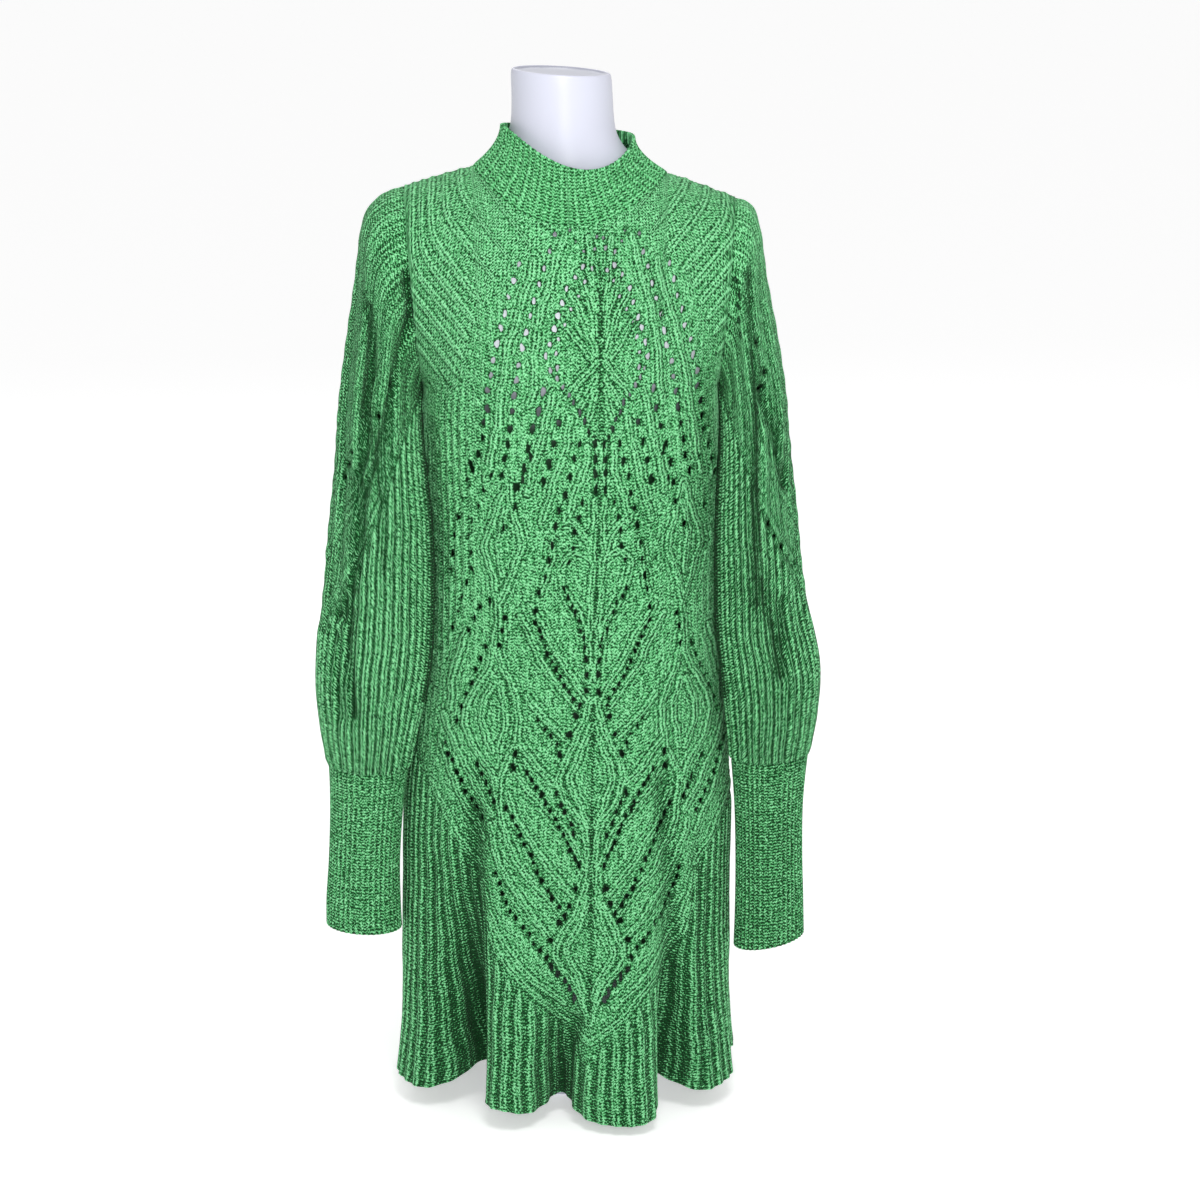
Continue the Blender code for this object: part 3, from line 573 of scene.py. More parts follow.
# Eyelet rows: their places from one end to the other, how many, and half their size.
EYELETS = (
    (((0.0746, 0.812), (0.0864, 0.770), (0.0980, 0.727), (0.1026, 0.696), (0.1089, 0.652),
      (0.1190, 0.612)), 15, 0.0021, 0.0034),
    (((0.0414, 0.838), (0.0549, 0.799), (0.0693, 0.746), (0.0783, 0.696), (0.0837, 0.660),
      (0.0895, 0.622)), 16, 0.0021, 0.0034),
    (((0.0152, 0.812), (0.0230, 0.802), (0.0290, 0.794), (0.0372, 0.774), (0.0450, 0.749),
      (0.0495, 0.731)), 8, 0.0019, 0.0034),
    (((0.0450, 0.720), (0.0405, 0.712), (0.0328, 0.702), (0.0225, 0.688), (0.0147, 0.672),
      (0.0075, 0.657)), 9, 0.0014, 0.0031),
    (((0.0070, 0.809), (0.0150, 0.795), (0.0230, 0.781), (0.0302, 0.768), (0.0384, 0.746),
      (0.0410, 0.731), (0.0400, 0.721)), 8, 0.0016, 0.0026),
    (((0.0280, 0.842), (0.0224, 0.834), (0.0152, 0.825)), 3, 0.0014, 0.0028),
    (((0.0040, 0.838), (0.0060, 0.826)), 2, 0.0014, 0.0028),
    (((0.0534, 0.701), (0.0569, 0.683), (0.0621, 0.664), (0.0666, 0.6475), (0.0707, 0.628),
      (0.0745, 0.613)), 6, 0.0020, 0.0041),
    (((0.0378, 0.671), (0.0423, 0.651), (0.0477, 0.6315), (0.0520, 0.617)), 4, 0.0020, 0.0042),
    (((0.0199, 0.6525), (0.0240, 0.635), (0.0290, 0.619), (0.0331, 0.6015), (0.0374, 0.586),
      (0.0425, 0.5545), (0.0489, 0.5265), (0.0550, 0.497)), 11, 0.0016, 0.0035),
    (((0.0049, 0.652), (0.0047, 0.610)), 4, 0.0018, 0.0043),
    (((0.0150, 0.597), (0.0182, 0.585), (0.0215, 0.572), (0.0228, 0.555), (0.0262, 0.542)),
     5, 0.0014, 0.0029),
    (((0.0640, 0.641), (0.0690, 0.621), (0.0760, 0.597), (0.0860, 0.572)), 4, 0.0012, 0.0032),
    (((0.0301, 0.516), (0.0222, 0.502), (0.0148, 0.487), (0.0068, 0.462)), 8, 0.0012, 0.0030),
    (((0.0540, 0.485), (0.0421, 0.457), (0.0310, 0.433), (0.0200, 0.417), (0.0135, 0.4055)),
     12, 0.0014, 0.0024),
    (((0.0060, 0.450), (0.0058, 0.420)), 3, 0.0017, 0.0034),
    (((0.0150, 0.395), (0.0215, 0.380), (0.0300, 0.360)), 3, 0.0024, 0.0032),
    (((0.0500, 0.392), (0.0420, 0.382), (0.0330, 0.370)), 4, 0.0014, 0.0022),
    (((0.0825, 0.488), (0.0850, 0.474), (0.0870, 0.460)), 3, 0.0015, 0.0030),
    (((0.0990, 0.458), (0.1060, 0.440), (0.1140, 0.421), (0.1200, 0.405), (0.1260, 0.386)),
     7, 0.0015, 0.0025),
    (((0.1380, 0.362), (0.1260, 0.336), (0.1165, 0.316), (0.1050, 0.296)), 9, 0.0015, 0.0027),
    (((0.1080, 0.346), (0.1000, 0.330), (0.0920, 0.312)), 5, 0.0014, 0.0030),
    (((0.0720, 0.358), (0.0735, 0.346)), 2, 0.0022, 0.0036),
    (((0.0610, 0.342), (0.0520, 0.329), (0.0420, 0.312), (0.0265, 0.285), (0.0120, 0.254)),
     13, 0.0015, 0.0028),
    (((0.0340, 0.322), (0.0290, 0.312), (0.0220, 0.298), (0.0160, 0.284)), 5, 0.0015, 0.0036),
    (((0.0790, 0.308), (0.0655, 0.281), (0.0524, 0.253), (0.0370, 0.226), (0.0247, 0.207)),
     13, 0.0018, 0.0027),
    (((0.0140, 0.232), (0.0205, 0.214), (0.0305, 0.196), (0.0370, 0.184)), 4, 0.0026, 0.0030),
    (((0.0890, 0.244), (0.0774, 0.2125), (0.0545, 0.184), (0.0400, 0.166)), 11, 0.0016, 0.0026),
    (((0.0365, 0.156), (0.0290, 0.147), (0.0215, 0.138), (0.0140, 0.126)), 5, 0.0018, 0.0044),
)
# Rows that only the right half or only the left half has, beside the waist.
RIGHT_EYELETS = (
    (((0.1175, 0.630), (0.1217, 0.606), (0.1275, 0.584), (0.1320, 0.558), (0.1335, 0.5315),
      (0.1355, 0.506)), 8, 0.0011, 0.0028),
    (((0.1001, 0.621), (0.1090, 0.598), (0.1170, 0.574), (0.1196, 0.555), (0.1150, 0.532),
      (0.1203, 0.515), (0.1270, 0.487), (0.1310, 0.472)), 11, 0.0011, 0.0028),
    (((0.0960, 0.501), (0.1050, 0.495), (0.1097, 0.4825), (0.1145, 0.471)), 4, 0.0013, 0.0030),
)
LEFT_EYELETS = ((((0.1010, 0.631), (0.1070, 0.584)), 2, 0.0012, 0.0028),)

# Soft creases of the front and the back, where the knit hangs from bust and hip: a path
# of (x, z), depth and width.
FRONT_CREASES = (
    (((-0.130, 0.660), (-0.124, 0.590), (-0.120, 0.520)), 0.0014, 0.007),
    (((0.126, 0.655), (0.121, 0.580), (0.112, 0.500)), 0.0010, 0.011),
    (((-0.090, 0.300), (-0.090, 0.230), (-0.089, 0.140), (-0.090, 0.030)), 0.0062, 0.0085),
    (((-0.088, 0.330), (-0.094, 0.230), (-0.098, 0.080)), 0.0022, 0.020),
    (((0.004, 0.105), (-0.004, 0.070), (-0.008, 0.020)), 0.0055, 0.0070),
    (((-0.045, 0.480), (-0.060, 0.400)), 0.0006, 0.014),
    (((0.084, 0.330), (0.092, 0.240), (0.096, 0.130), (0.098, 0.040)), 0.0040, 0.0090),
    (((0.118, 0.260), (0.125, 0.160), (0.128, 0.050)), 0.0026, 0.0070),
    (((-0.128, 0.250), (-0.134, 0.150), (-0.137, 0.050)), 0.0018, 0.0060),
    (((0.060, 0.620), (0.075, 0.540)), 0.0008, 0.016),
)
BACK_CREASES = (
    (((-0.120, 0.650), (-0.112, 0.590), (-0.100, 0.520)), 0.0022, 0.011),
    (((0.124, 0.640), (0.119, 0.560), (0.108, 0.490)), 0.0024, 0.010),
    (((-0.060, 0.540), (-0.005, 0.518), (0.050, 0.505)), 0.0016, 0.016),
    (((0.040, 0.480), (-0.015, 0.463), (-0.070, 0.455)), 0.0013, 0.014),
    (((0.020, 0.800), (0.045, 0.750), (0.060, 0.700)), 0.0012, 0.018),
)
chance = np.random.default_rng(11)


def path_through(places, count):
    """Points along a smooth curve through places, evenly spaced by its length."""
    places = np.asarray(places, dtype=float)
    chord = length_along(places)
    fine = np.linspace(0, chord[-1], 200)
    curve = np.stack([smooth(fine, chord, places[:, axis]) for axis in (0, 1)], -1)
    length = length_along(curve)
    even = np.linspace(0, length[-1], count)
    return np.stack([np.interp(even, length, curve[:, axis]) for axis in (0, 1)], -1)


def distance_to(curve, u, z, reach):
    """Distance of each point (u, z) to a curve, or the reach where it is further."""
    nearest = np.full(u.shape, reach)
    low = curve.min(0) - reach
    high = curve.max(0) + reach
    near = (u > low[0]) & (u < high[0]) & (z > low[1]) & (z < high[1])
    start = curve[:-1]
    step = curve[1:] - start
    offset = np.stack((u[near], z[near]), -1)[:, None] - start
    share = np.clip((offset * step).sum(-1) / (step**2).sum(-1), 0, 1)
    away = np.linalg.norm(offset - share[..., None] * step, axis=-1).min(1)
    nearest[near] = np.minimum(away, reach)
    return nearest


def soft_step(value, width):
    """0 below zero and 1 above it, over that width."""
    return 1 / (1 + np.exp(-4 * value / width))


def level_distance(level, over_step, up_step):
    """Distance to the nearest whole level of a field on a grid: its distance to the whole
    number over its slope."""
    slope = np.hypot(np.gradient(level, axis=1) / over_step,
                     np.gradient(level, axis=0) / up_step)
    return np.abs(level - np.round(level)) / np.maximum(slope, 1.0)


# The yoke's wales on the right and on the left: how far out the first one starts, their
# pitch, where the outermost bends and how high, how fast the line of bends falls, and the
# slope of the wales below it.  Past the sixth they lie closer.
YOKE_SIDES = (
    (0.0515, 0.0480),
    (0.0125, 0.0158),
    (0.0890, 0.1104),
    (0.8930, 0.8820),
    (1.57, 1.0),
    (1.2, 1.1),
)
CLOSER_FROM = 6.2
CLOSER = 1.5
BEND_SOFTNESS = 0.003


def yoke_levels(x, z):
    """The yoke's wales: level 0, 1, 2 ... of distance from the neck above a slanting line
    of bends, below which they lean in towards the lace."""
    first, pitch, bend_from, bend_height, fall, slant = (np.where(x < 0, right, left)
                                                         for right, left in YOKE_SIDES)
    over = np.abs(x)
    leaning = (over + (bend_height + fall * bend_from - z) / slant) / (1 + fall / slant)
    distance = np.logaddexp(over / BEND_SOFTNESS, leaning / BEND_SOFTNESS) * BEND_SOFTNESS
    level = (distance - first) / pitch
    return np.where(level > CLOSER_FROM, CLOSER_FROM + (level - CLOSER_FROM) * CLOSER, level)


def crease_depth(creases, x, z):
    """Depth of soft creases: a bell across each crease's path that fades at its ends."""
    depth = np.zeros_like(x)
    for places, deep, width in creases:
        away = distance_to(path_through(places, 24), x, z, 4 * width)
        depth += deep * bell(away, width)
    return depth


def lace_places(x, z):
    """Distance of each point from the lace's middle as its right half measures it: the left
    half is drawn in a little."""
    middle = look_up(z, LACE_MIDDLE)
    return np.abs(x - middle) / np.where(x > middle, look_up(z, LEFT_SCALE), 1)


def set_eyelets(rows, sides):
    """Each eyelet of the rows: its middle, half its size and two turns of its outline.  No
    two are quite alike, and those near the neck are smaller.  Sides -1 and 1 are the lace's
    right and left halves, and side 0 takes the places as they stand."""
    eyelets = []
    for places, count, half_width, half_height in rows:
        for u, height in path_through(places, count):
            for side in sides:
                x, scale = u, 1.0
                if side:
                    scale = look_up(height, LEFT_SCALE) if side > 0 else 1.0
                    x = look_up(height, LACE_MIDDLE) + side * u * scale
                size = chance.normal(0.94, 0.10) - 0.16 * soft_step(height - 0.765, 0.03)
                eyelets.append((x + chance.normal(0, 0.0006), height + chance.normal(0, 0.0008),
                                half_width * size * scale**0.5, half_height * size,
                                *chance.uniform(0, 2 * np.pi, 2)))
    return eyelets


def eyelet_edges(x, z, eyelets):
    """Distance from each point to the edge of the nearest eyelet, less than 0 inside, and
    the shift that takes a point on to that edge.  An eyelet is an uneven upright oval."""
    edge = np.full(x.shape, FAR)
    shift = np.zeros((*x.shape, 2))
    for centre, middle, wide, tall, turn, lobe in eyelets:
        near = (np.abs(x - centre) < wide + 0.004) & (np.abs(z - middle) < tall + 0.004)
        across = x[near] - centre
        up = z[near] - middle
        angle = np.arctan2(up / tall, across / wide)
        outline = 1 + 0.15 * np.sin(2 * angle + turn) + 0.12 * np.sin(3 * angle + lobe)
        radius = np.maximum(np.hypot(across / wide, up / tall) / outline, 0.05)
        reach = np.hypot(across, up) * (1 - 1 / radius)
        closer = (np.abs(reach) < np.abs(edge[near])) | (reach < 0)
        place = np.flatnonzero(near)[closer]
        edge.flat[place] = reach[closer]
        shift.reshape(-1, 2)[place] = (np.stack((across, up), -1)
                                       * (1 / radius - 1)[:, None])[closer]
    return edge, shift


def open_eyelets(x, z, edge, shift, points):
    """Move the grid's points that lie nearest to an eyelet's edge on to it.  Where an edge
    of the grid crosses an eyelet's edge, its nearer end moves."""
    moves = np.zeros(edge.shape, dtype=bool)
    rows, columns = edge.shape
    for down, over in ((0, 1), (1, 0), (1, 1)):
        first = (slice(0, rows - down), slice(0, columns - over))
        second = (slice(down, rows), slice(over, columns))
        crosses = edge[first] * edge[second] < 0
        nearer = np.abs(edge[first]) < np.abs(edge[second])
        moves[first] |= crosses & nearer
        moves[second] |= crosses & ~nearer
    x_over, x_up = np.gradient(x, axis=1), np.gradient(x, axis=0)
    z_over, z_up = np.gradient(z, axis=1), np.gradient(z, axis=0)
    area = x_over * z_up - x_up * z_over
    area = np.where(np.abs(area) < 1e-8, 1e-8, area)
    over = np.clip((shift[..., 0] * z_up - shift[..., 1] * x_up) / area, -0.7, 0.7)
    up = np.clip((shift[..., 1] * x_over - shift[..., 0] * z_over) / area, -0.7, 0.7)
    moved = points + np.where(moves, over, 0)[..., None] * np.gradient(points, axis=1)
    moved = moved + np.where(moves, up, 0)[..., None] * np.gradient(points, axis=0)
    return moved, np.where(moves, 0, edge)


def cloth_faces(edge, closed):
    """Faces of a grid of cloth: quads where it is whole, and triangles round eyelets that
    leave out what lies inside them.  Also the open edges round the eyelets."""
    rows, columns = edge.shape
    row, column = np.meshgrid(np.arange(rows - 1), np.arange(columns - (not closed)),
                              indexing="ij")
    corner = (row * columns + column).ravel()
    right = (row * columns + (column + 1) % columns).ravel()
    quads = np.stack((corner, right, right + columns, corner + columns), -1)
    edge = edge.ravel()
    cut = (edge[quads] <= 0).any(1)
    halves = np.concatenate((quads[cut][:, [0, 1, 2]], quads[cut][:, [0, 2, 3]]))
    whole = (edge[halves] >= 0).all(1) & (edge[halves] > 0).any(1)
    halves = halves[whole]
    sides = np.concatenate((halves[:, [0, 1]], halves[:, [1, 2]], halves[:, [2, 0]]))
    rims = sides[(edge[sides] == 0).all(1)]
    seen = set(map(tuple, rims.tolist()))
    rims = np.array([side for side in seen if side[::-1] not in seen]).reshape(-1, 2)
    return quads[~cut], halves, rims


def rolled_edge(points, normal, away, inward=(0.004, 0.010)):
    """Rows that finish an edge: half a turn of the wall's thickness past the edge, then
    back inside it.  They run from the edge inwards."""
    rows = []
    for angle in (0.25, 0.5, 0.75, 1.0):
        turn = np.pi * angle
        rows.append(points + away * (WALL / 2 * np.sin(turn))
                    - normal * (WALL / 2 * (1 - np.cos(turn))))
    for depth in inward:
        rows.append(points - normal * WALL - away * depth)
    return np.stack(rows)


def add_cloth(name, points, marks, material, closed=False, flip=False):
    """Make a piece of cloth from a grid of points, with walls in its eyelets and an
    attribute for each of its marks but `edge`, the distance to an eyelet's edge."""
    marks = dict(marks)
    edge = marks.pop("edge")
    quads, halves, rims = cloth_faces(edge, closed)
    _, _, normal = grid_slopes(points)
    if flip:
        normal = -normal
    flat = points.reshape(-1, 3)
    count = len(flat)
    used, place = np.unique(rims.astype(int), return_inverse=True)
    place = place.reshape(-1, 2) + count
    walls = np.stack((rims[:, 1], rims[:, 0], place[:, 0], place[:, 1]), -1)
    inner = flat[used] - normal.reshape(-1, 3)[used] * WALL * 0.8
    faces = quads.tolist() + halves.tolist() + walls.tolist()
    if flip:
        faces = [face[::-1] for face in faces]
    mesh = bpy.data.meshes.new(name)
    mesh.from_pydata(np.concatenate((flat, inner)), [], faces)
    for label, values in marks.items():
        values = values.ravel()
        mark = mesh.attributes.new(label, "FLOAT", "POINT")
        mark.data.foreach_set("value", np.concatenate((values, values[used])).astype("f"))
    work = bmesh.new()
    work.from_mesh(mesh)
    loose = [vertex for vertex in work.verts if not vertex.link_faces]
    bmesh.ops.delete(work, geom=loose, context="VERTS")
    work.to_mesh(mesh)
    work.free()
    mesh.materials.append(material)
    mesh.shade_smooth()
    piece = bpy.data.objects.new(name, mesh)
    bpy.context.scene.collection.objects.link(piece)
    return piece


def add_roll(points, marks, normal, away, first=False):
    """A grid and its marks with a rolled edge after the last row, or before the first."""
    row = 0 if first else -1
    roll = rolled_edge(points[row], normal[row], away)
    parts = {label: [values, np.repeat(values[[row]], len(roll), 0)]
             for label, values in marks.items()}
    if first:
        return (np.concatenate((roll[::-1], points)),
                {label: np.concatenate(part[::-1]) for label, part in parts.items()})
    return (np.concatenate((points, roll)),
            {label: np.concatenate(part) for label, part in parts.items()})


# How the body's knit is laid out.  Pitches are from rib to rib.  The tables give a distance
# from the lace's middle by height, or for the flounce's top a height by that distance.
FLOUNCE_PITCH = 0.0108
SIDE_PITCH = 0.0092
PLAIN_PITCH = 0.0150
VEIN_PITCH = 0.0120
LACE_SIDE = ((0.60, 0.175), (0.70, 0.122), (0.745, 0.116), (0.80, 0.088), (0.83, 0.055),
             (0.86, 0.030), (0.90, 0.0))
FLOUNCE_TOP = ((0, 0.070), (0.020, 0.098), (0.050, 0.125), (0.075, 0.150), (0.095, 0.180),
               (0.100, 0.225), (0.110, 0.250), (0.136, 0.292), (0.155, 0.330), (0.19, 0.40))
PLAIN_SIDE = ((0.30, 0.135), (0.42, 0.139), (0.50, 0.120), (0.66, 0.098), (0.80, 0.112))
LEAF_HALF = ((0.655, 0.002), (0.70, 0.024), (0.75, 0.036), (0.80, 0.024), (0.845, 0.008))
BACK_WALES = (-0.06, -0.02, 0.02, 0.06)


def between_heights(z, low, high, low_width, high_width):
    """1 between two heights, with soft ends."""
    return soft_step(z - low, low_width) * soft_step(high - z, high_width)


def lace_lines(line, across, u, x, z, lace):
    """Distance to the nearest twin wales: those of the front's lace, which sway a little,
    or those that run up the back."""
    if lace:
        swayed = u + 0.0008 * np.sin(130 * z + 60 * x) + 0.0005 * np.sin(310 * z - 120 * x)
        for places in TWIN_WALES:
            line = np.minimum(line, distance_to(path_through(places, 30), swayed, z, 0.012))
        return line
    ends = 0.012 * soft_step(z - 0.74, 0.04) + 0.012 * soft_step(0.30 - z, 0.03)
    for wale in BACK_WALES:
        line = np.minimum(line, np.abs(across - wale) + ends)
    return line


def leaf_veins(u, z, flounce):
    """The chest's leaf, the veins of it and of the lace below, and the spine's groove."""
    leaf = soft_step(look_up(z, LEAF_HALF) - u, 0.006)
    leaf = leaf * between_heights(z, 0.655, 0.835, 0.01, 0.02)
    feather = soft_step(0.61 - z, 0.02) * soft_step(0.100 - u, 0.02) * (1 - flounce)
    spine = (between_heights(z, 0.657, 0.808, 0.01, 0.01)
             + between_heights(z, 0.465, 0.622, 0.01, 0.01))
    groove = bell(u, 0.0022) * (between_heights(z, 0.11, 0.40, 0.02, 0.02) + 0.6 * spine)
    veins = wave(2 * np.pi * (z - 1.9 * u + 5.0 * u**2) / VEIN_PITCH)
    return leaf, leaf + 0.75 * feather, veins, groove


def hang_panel(name, side, low_climb, high_climb, spacing, material, eyelets=()):
    """A stretch of the front (side 1) or back (-1) between two climbs, as a grid of even
    spacing raised into its wales, ribs and creases.  Eyelets are given for the lace alone."""
    surface = body_surface(side)
    lace = len(eyelets) > 0
    turn = 0 if side > 0 else np.pi
    bearings = even_steps(lambda fine: surface(fine, np.full_like(fine, 0.45)),
                          turn - np.pi / 2, turn + np.pi / 2, spacing)
    body_height = UNDERARM - HEM_HEIGHT
    low_rows = np.arange(max(low_climb, 0), min(high_climb, 1), spacing / body_height)
    yoke_from = max(low_climb, 1)
    yoke_rows = int(YOKE_LENGTH * (2 - yoke_from) / spacing) + 1
    climbs = np.append(low_rows, np.linspace(yoke_from, 2, yoke_rows) if high_climb > 1
                       else high_climb)
    climb, bearing = np.meshgrid(climbs, bearings, indexing="ij")
    base = surface(bearing, climb)
    over, up, normal = grid_slopes(base)
    x, z = base[..., 0], base[..., 2]
    over_step = np.maximum(np.linalg.norm(over, axis=-1), 1e-5)
    up_step = np.maximum(np.linalg.norm(up, axis=-1), 1e-5)
    across = arc_across(base, np.argmin(np.abs(bearing - turn), axis=1))
    along = arc_along(base) + climbs[0] * body_height
    u = lace_places(x, z)

    # the yoke's wales, which fade where the lace or the side ribs begin
    outside_lace = u - (look_up(z, LACE_SIDE) if lace else 0.02)
    in_yoke = soft_step(outside_lace, 0.012) * soft_step(z - UNDERARM, 0.05)
    line = level_distance(yoke_levels(x, z), over_step, up_step) + 0.009 * (1 - in_yoke)

    # vertical ribs: broad ones in the flounce, finer ones up the sides, wide ones behind
    column = across[np.argmin(np.abs(z[:, z.shape[1] // 2] - 0.24))]
    column = column + 0.0009 * np.sin(34 * z + 25 * x) + 0.0006 * np.sin(95 * z - 60 * x)
    flounce_top = look_up(u, FLOUNCE_TOP) if lace else 0.27 + 0.03 * np.cos(across * 40)
    flounce = soft_step(flounce_top - z, 0.016)
    wale = np.abs(column - np.round(column / FLOUNCE_PITCH) * FLOUNCE_PITCH)
    line = np.minimum(line, wale + 0.009 * (1 - flounce))
    sides = soft_step(u - look_up(z, PLAIN_SIDE), 0.014) * (1 - flounce) * (1 - in_yoke)
    plain = 0 * u if lace else (1 - flounce) * (1 - sides) * (1 - in_yoke)
    broad, fine, wide = (wave(2 * np.pi * column / pitch)
                         for pitch in (FLOUNCE_PITCH, SIDE_PITCH, PLAIN_PITCH))
    ribs = 0.0013 * broad ** 0.8 * flounce + 0.0014 * fine * sides + 0.0012 * wide * plain

    # twin wales, the leaf and its veins, and the eyelets
    line = lace_lines(line, across, u, x, z, lace)
    leaf, veined, veins, groove = leaf_veins(u, z, flounce)
    if lace:
        edge, shift = eyelet_edges(x, z, eyelets)
    else:
        veined, groove = 0 * u, 0 * u
        edge = np.full(u.shape, FAR)
    beyond_edge = np.maximum(edge, 0)

    seam = np.minimum(bearing - bearings[0], bearings[-1] - bearing) * SIDE_RADIUS
    sunk = bell(seam, 0.0022)
    creases = crease_depth(FRONT_CREASES if side > 0 else BACK_CREASES, x, z)
    beside = (np.clip((line - RIPPLES_FROM) / 0.001, 0, 1)
              * np.clip((RIPPLES_TO - line) / 0.001, 0, 1))
    relief = (0.0004 + ribs + 0.0012 * bell(line, 0.0027) + 0.0006 * leaf
              + 0.0004 * beside * np.cos((line - TWIN_HALF) * 2 * np.pi / RIPPLE_PITCH)
              + 0.0006 * veined * veins - 0.0014 * groove - 0.0014 * sunk - creases
              + 0.0005 * bell(edge - 0.0016, 0.0010)
              - 0.0011 * bell(beyond_edge, 0.0007))

    # painted shade: what lies deep is darker, and so is the seam, with a thin dark line beside
    # the arm; painted light lightens the cloth beside the arm, more on the front than the back
    folded, _ = hem_folds(bearing, z)
    beside_arm = between_heights(z, 0.42, 0.72, 0.05, 0.04)
    lit = np.where(x > 0, 1.4, 1.1) if side > 0 else 0.45
    hollow = (flounce * (0.20 + 0.22 * (1 - broad) ** 1.3) + sides * (1 - fine) * 0.28
              + plain * (1 - wide) ** 2 * 0.5 + 15 * np.maximum(-folded, 0) + 0.80 * groove
              + veined * (1 - veins) ** 1.3 * 0.25 + 120 * creases
              + sunk * (0.5 - 0.35 * soft_step(z - 0.72, 0.03))
              - lit * beside_arm * bell(seam, 0.034)
              + 1.6 * beside_arm * bell(seam, 0.0040))

    points = base + normal * relief[..., None]
    if lace:
        points, edge = open_eyelets(x, z, edge, shift, points)
    marks = {"across": across, "along": along, "line": np.minimum(line, FAR) * 1000,
             "hollow": hollow, "rim": bell(np.maximum(edge, 0), 0.0012),
             "lean": in_yoke * np.sign(x), "faint": 0.05 * flounce, "edge": edge}
    if low_climb == 0:
        points, marks = add_roll(points, marks, normal, DOWN, first=True)
    return add_cloth(name, points, marks, material)


body_eyelets = (set_eyelets(EYELETS, (-1, 1)) + set_eyelets(RIGHT_EYELETS, (-1,))
                + set_eyelets(LEFT_EYELETS, (1,)))
body_yarn = yarn_material("boucle_body", 3.0)
front_skirt = hang_panel("front_skirt", 1, 0, 0.58, 0.00155, body_yarn, body_eyelets)
front_bodice = hang_panel("front_bodice", 1, 0.58, 2, 0.00155, body_yarn, body_eyelets)
back_panel = hang_panel("back_panel", -1, 0, 2, 0.0021, body_yarn)
for piece, node in ((front_skirt, "front"), (front_bodice, "front"), (back_panel, "back")):
    finish_piece(piece, node)


# ------------------------------------------------------------------ sleeves and cuffs
# Balloon sleeves in broad ribs are gathered into long cuffs in fine ribs.  A tube of
# knit each, set into the armhole and seamed to the cuff.
ARM_COLUMNS = ("out_x", "out_z", "in_x", "in_z", "mid_y", "half_depth")
RIGHT_ARM = np.array((
    (0.1730, 0.8640, 0.1385, 0.6840, -0.004, 0.064),
    (0.1890, 0.8450, 0.1395, 0.6720, -0.010, 0.065),
    (0.1970, 0.7980, 0.1395, 0.6560, -0.020, 0.063),
    (0.2070, 0.7350, 0.1375, 0.6350, -0.031, 0.060),
    (0.2150, 0.6720, 0.1345, 0.6080, -0.040, 0.057),
    (0.2190, 0.6050, 0.1310, 0.5680, -0.048, 0.053),
    (0.2270, 0.5350, 0.1290, 0.5150, -0.053, 0.051),
    (0.2330, 0.4650, 0.1310, 0.4550, -0.055, 0.050),
    (0.2355, 0.4150, 0.1370, 0.4100, -0.055, 0.049),
    (0.2320, 0.3720, 0.1465, 0.3680, -0.053, 0.045),
    (0.2270, 0.3350, 0.1545, 0.3320, -0.048, 0.038),
    (0.2265, 0.2900, 0.1605, 0.2880, -0.044, 0.033),
    (0.2285, 0.2400, 0.1640, 0.2380, -0.042, 0.031),
    (0.2315, 0.2000, 0.1640, 0.1980, -0.041, 0.031),
    (0.2320, 0.1740, 0.1630, 0.1730, -0.041, 0.032),
))
LEFT_ARM = np.array((
    (0.1680, 0.8530, 0.1385, 0.6840, -0.004, 0.062),
    (0.1750, 0.8300, 0.1400, 0.6720, -0.010, 0.062),
    (0.1810, 0.7900, 0.1405, 0.6560, -0.020, 0.061),
    (0.1915, 0.7350, 0.1400, 0.6350, -0.031, 0.058),
    (0.1995, 0.6800, 0.1385, 0.6080, -0.040, 0.055),
    (0.2055, 0.6120, 0.1370, 0.5680, -0.047, 0.051),
    (0.2135, 0.5400, 0.1365, 0.5150, -0.051, 0.049),
    (0.2210, 0.4800, 0.1380, 0.4650, -0.052, 0.049),
    (0.2300, 0.4300, 0.1430, 0.4200, -0.052, 0.049),
    (0.2280, 0.3850, 0.1480, 0.3780, -0.050, 0.045),
    (0.2220, 0.3450, 0.1520, 0.3400, -0.046, 0.038),
    (0.2180, 0.2950, 0.1560, 0.2900, -0.042, 0.033),
    (0.2180, 0.2430, 0.1575, 0.2400, -0.040, 0.030),
    (0.2195, 0.1970, 0.1575, 0.1940, -0.039, 0.030),
    (0.2205, 0.1590, 0.1565, 0.1570, -0.039, 0.031),
))
CUFF_START = 11

# Folds of the sleeves: from ring, to ring, from bearing, to bearing, depth, spread.
# The bearing is in degrees from the outer side, positive towards the front.
RIGHT_SLEEVE_FOLDS = (
    (2.0, 8.5, 22.0, 38.0, 0.009, 15.0),
    (1.5, 5.5, 84.0, 62.0, 0.008, 14.0),
    (3.0, 8.0, 235.0, 205.0, 0.008, 16.0),
    (2.0, 6.0, 300.0, 320.0, 0.007, 15.0),
)
LEFT_SLEEVE_FOLDS = (
    (2.0, 6.5, 48.0, 62.0, 0.009, 15.0),
    (5.0, 9.0, 20.0, 46.0, 0.007, 15.0),
    (3.0, 8.0, 240.0, 208.0, 0.008, 16.0),
    (2.0, 6.0, 305.0, 322.0, 0.007, 15.0),
)


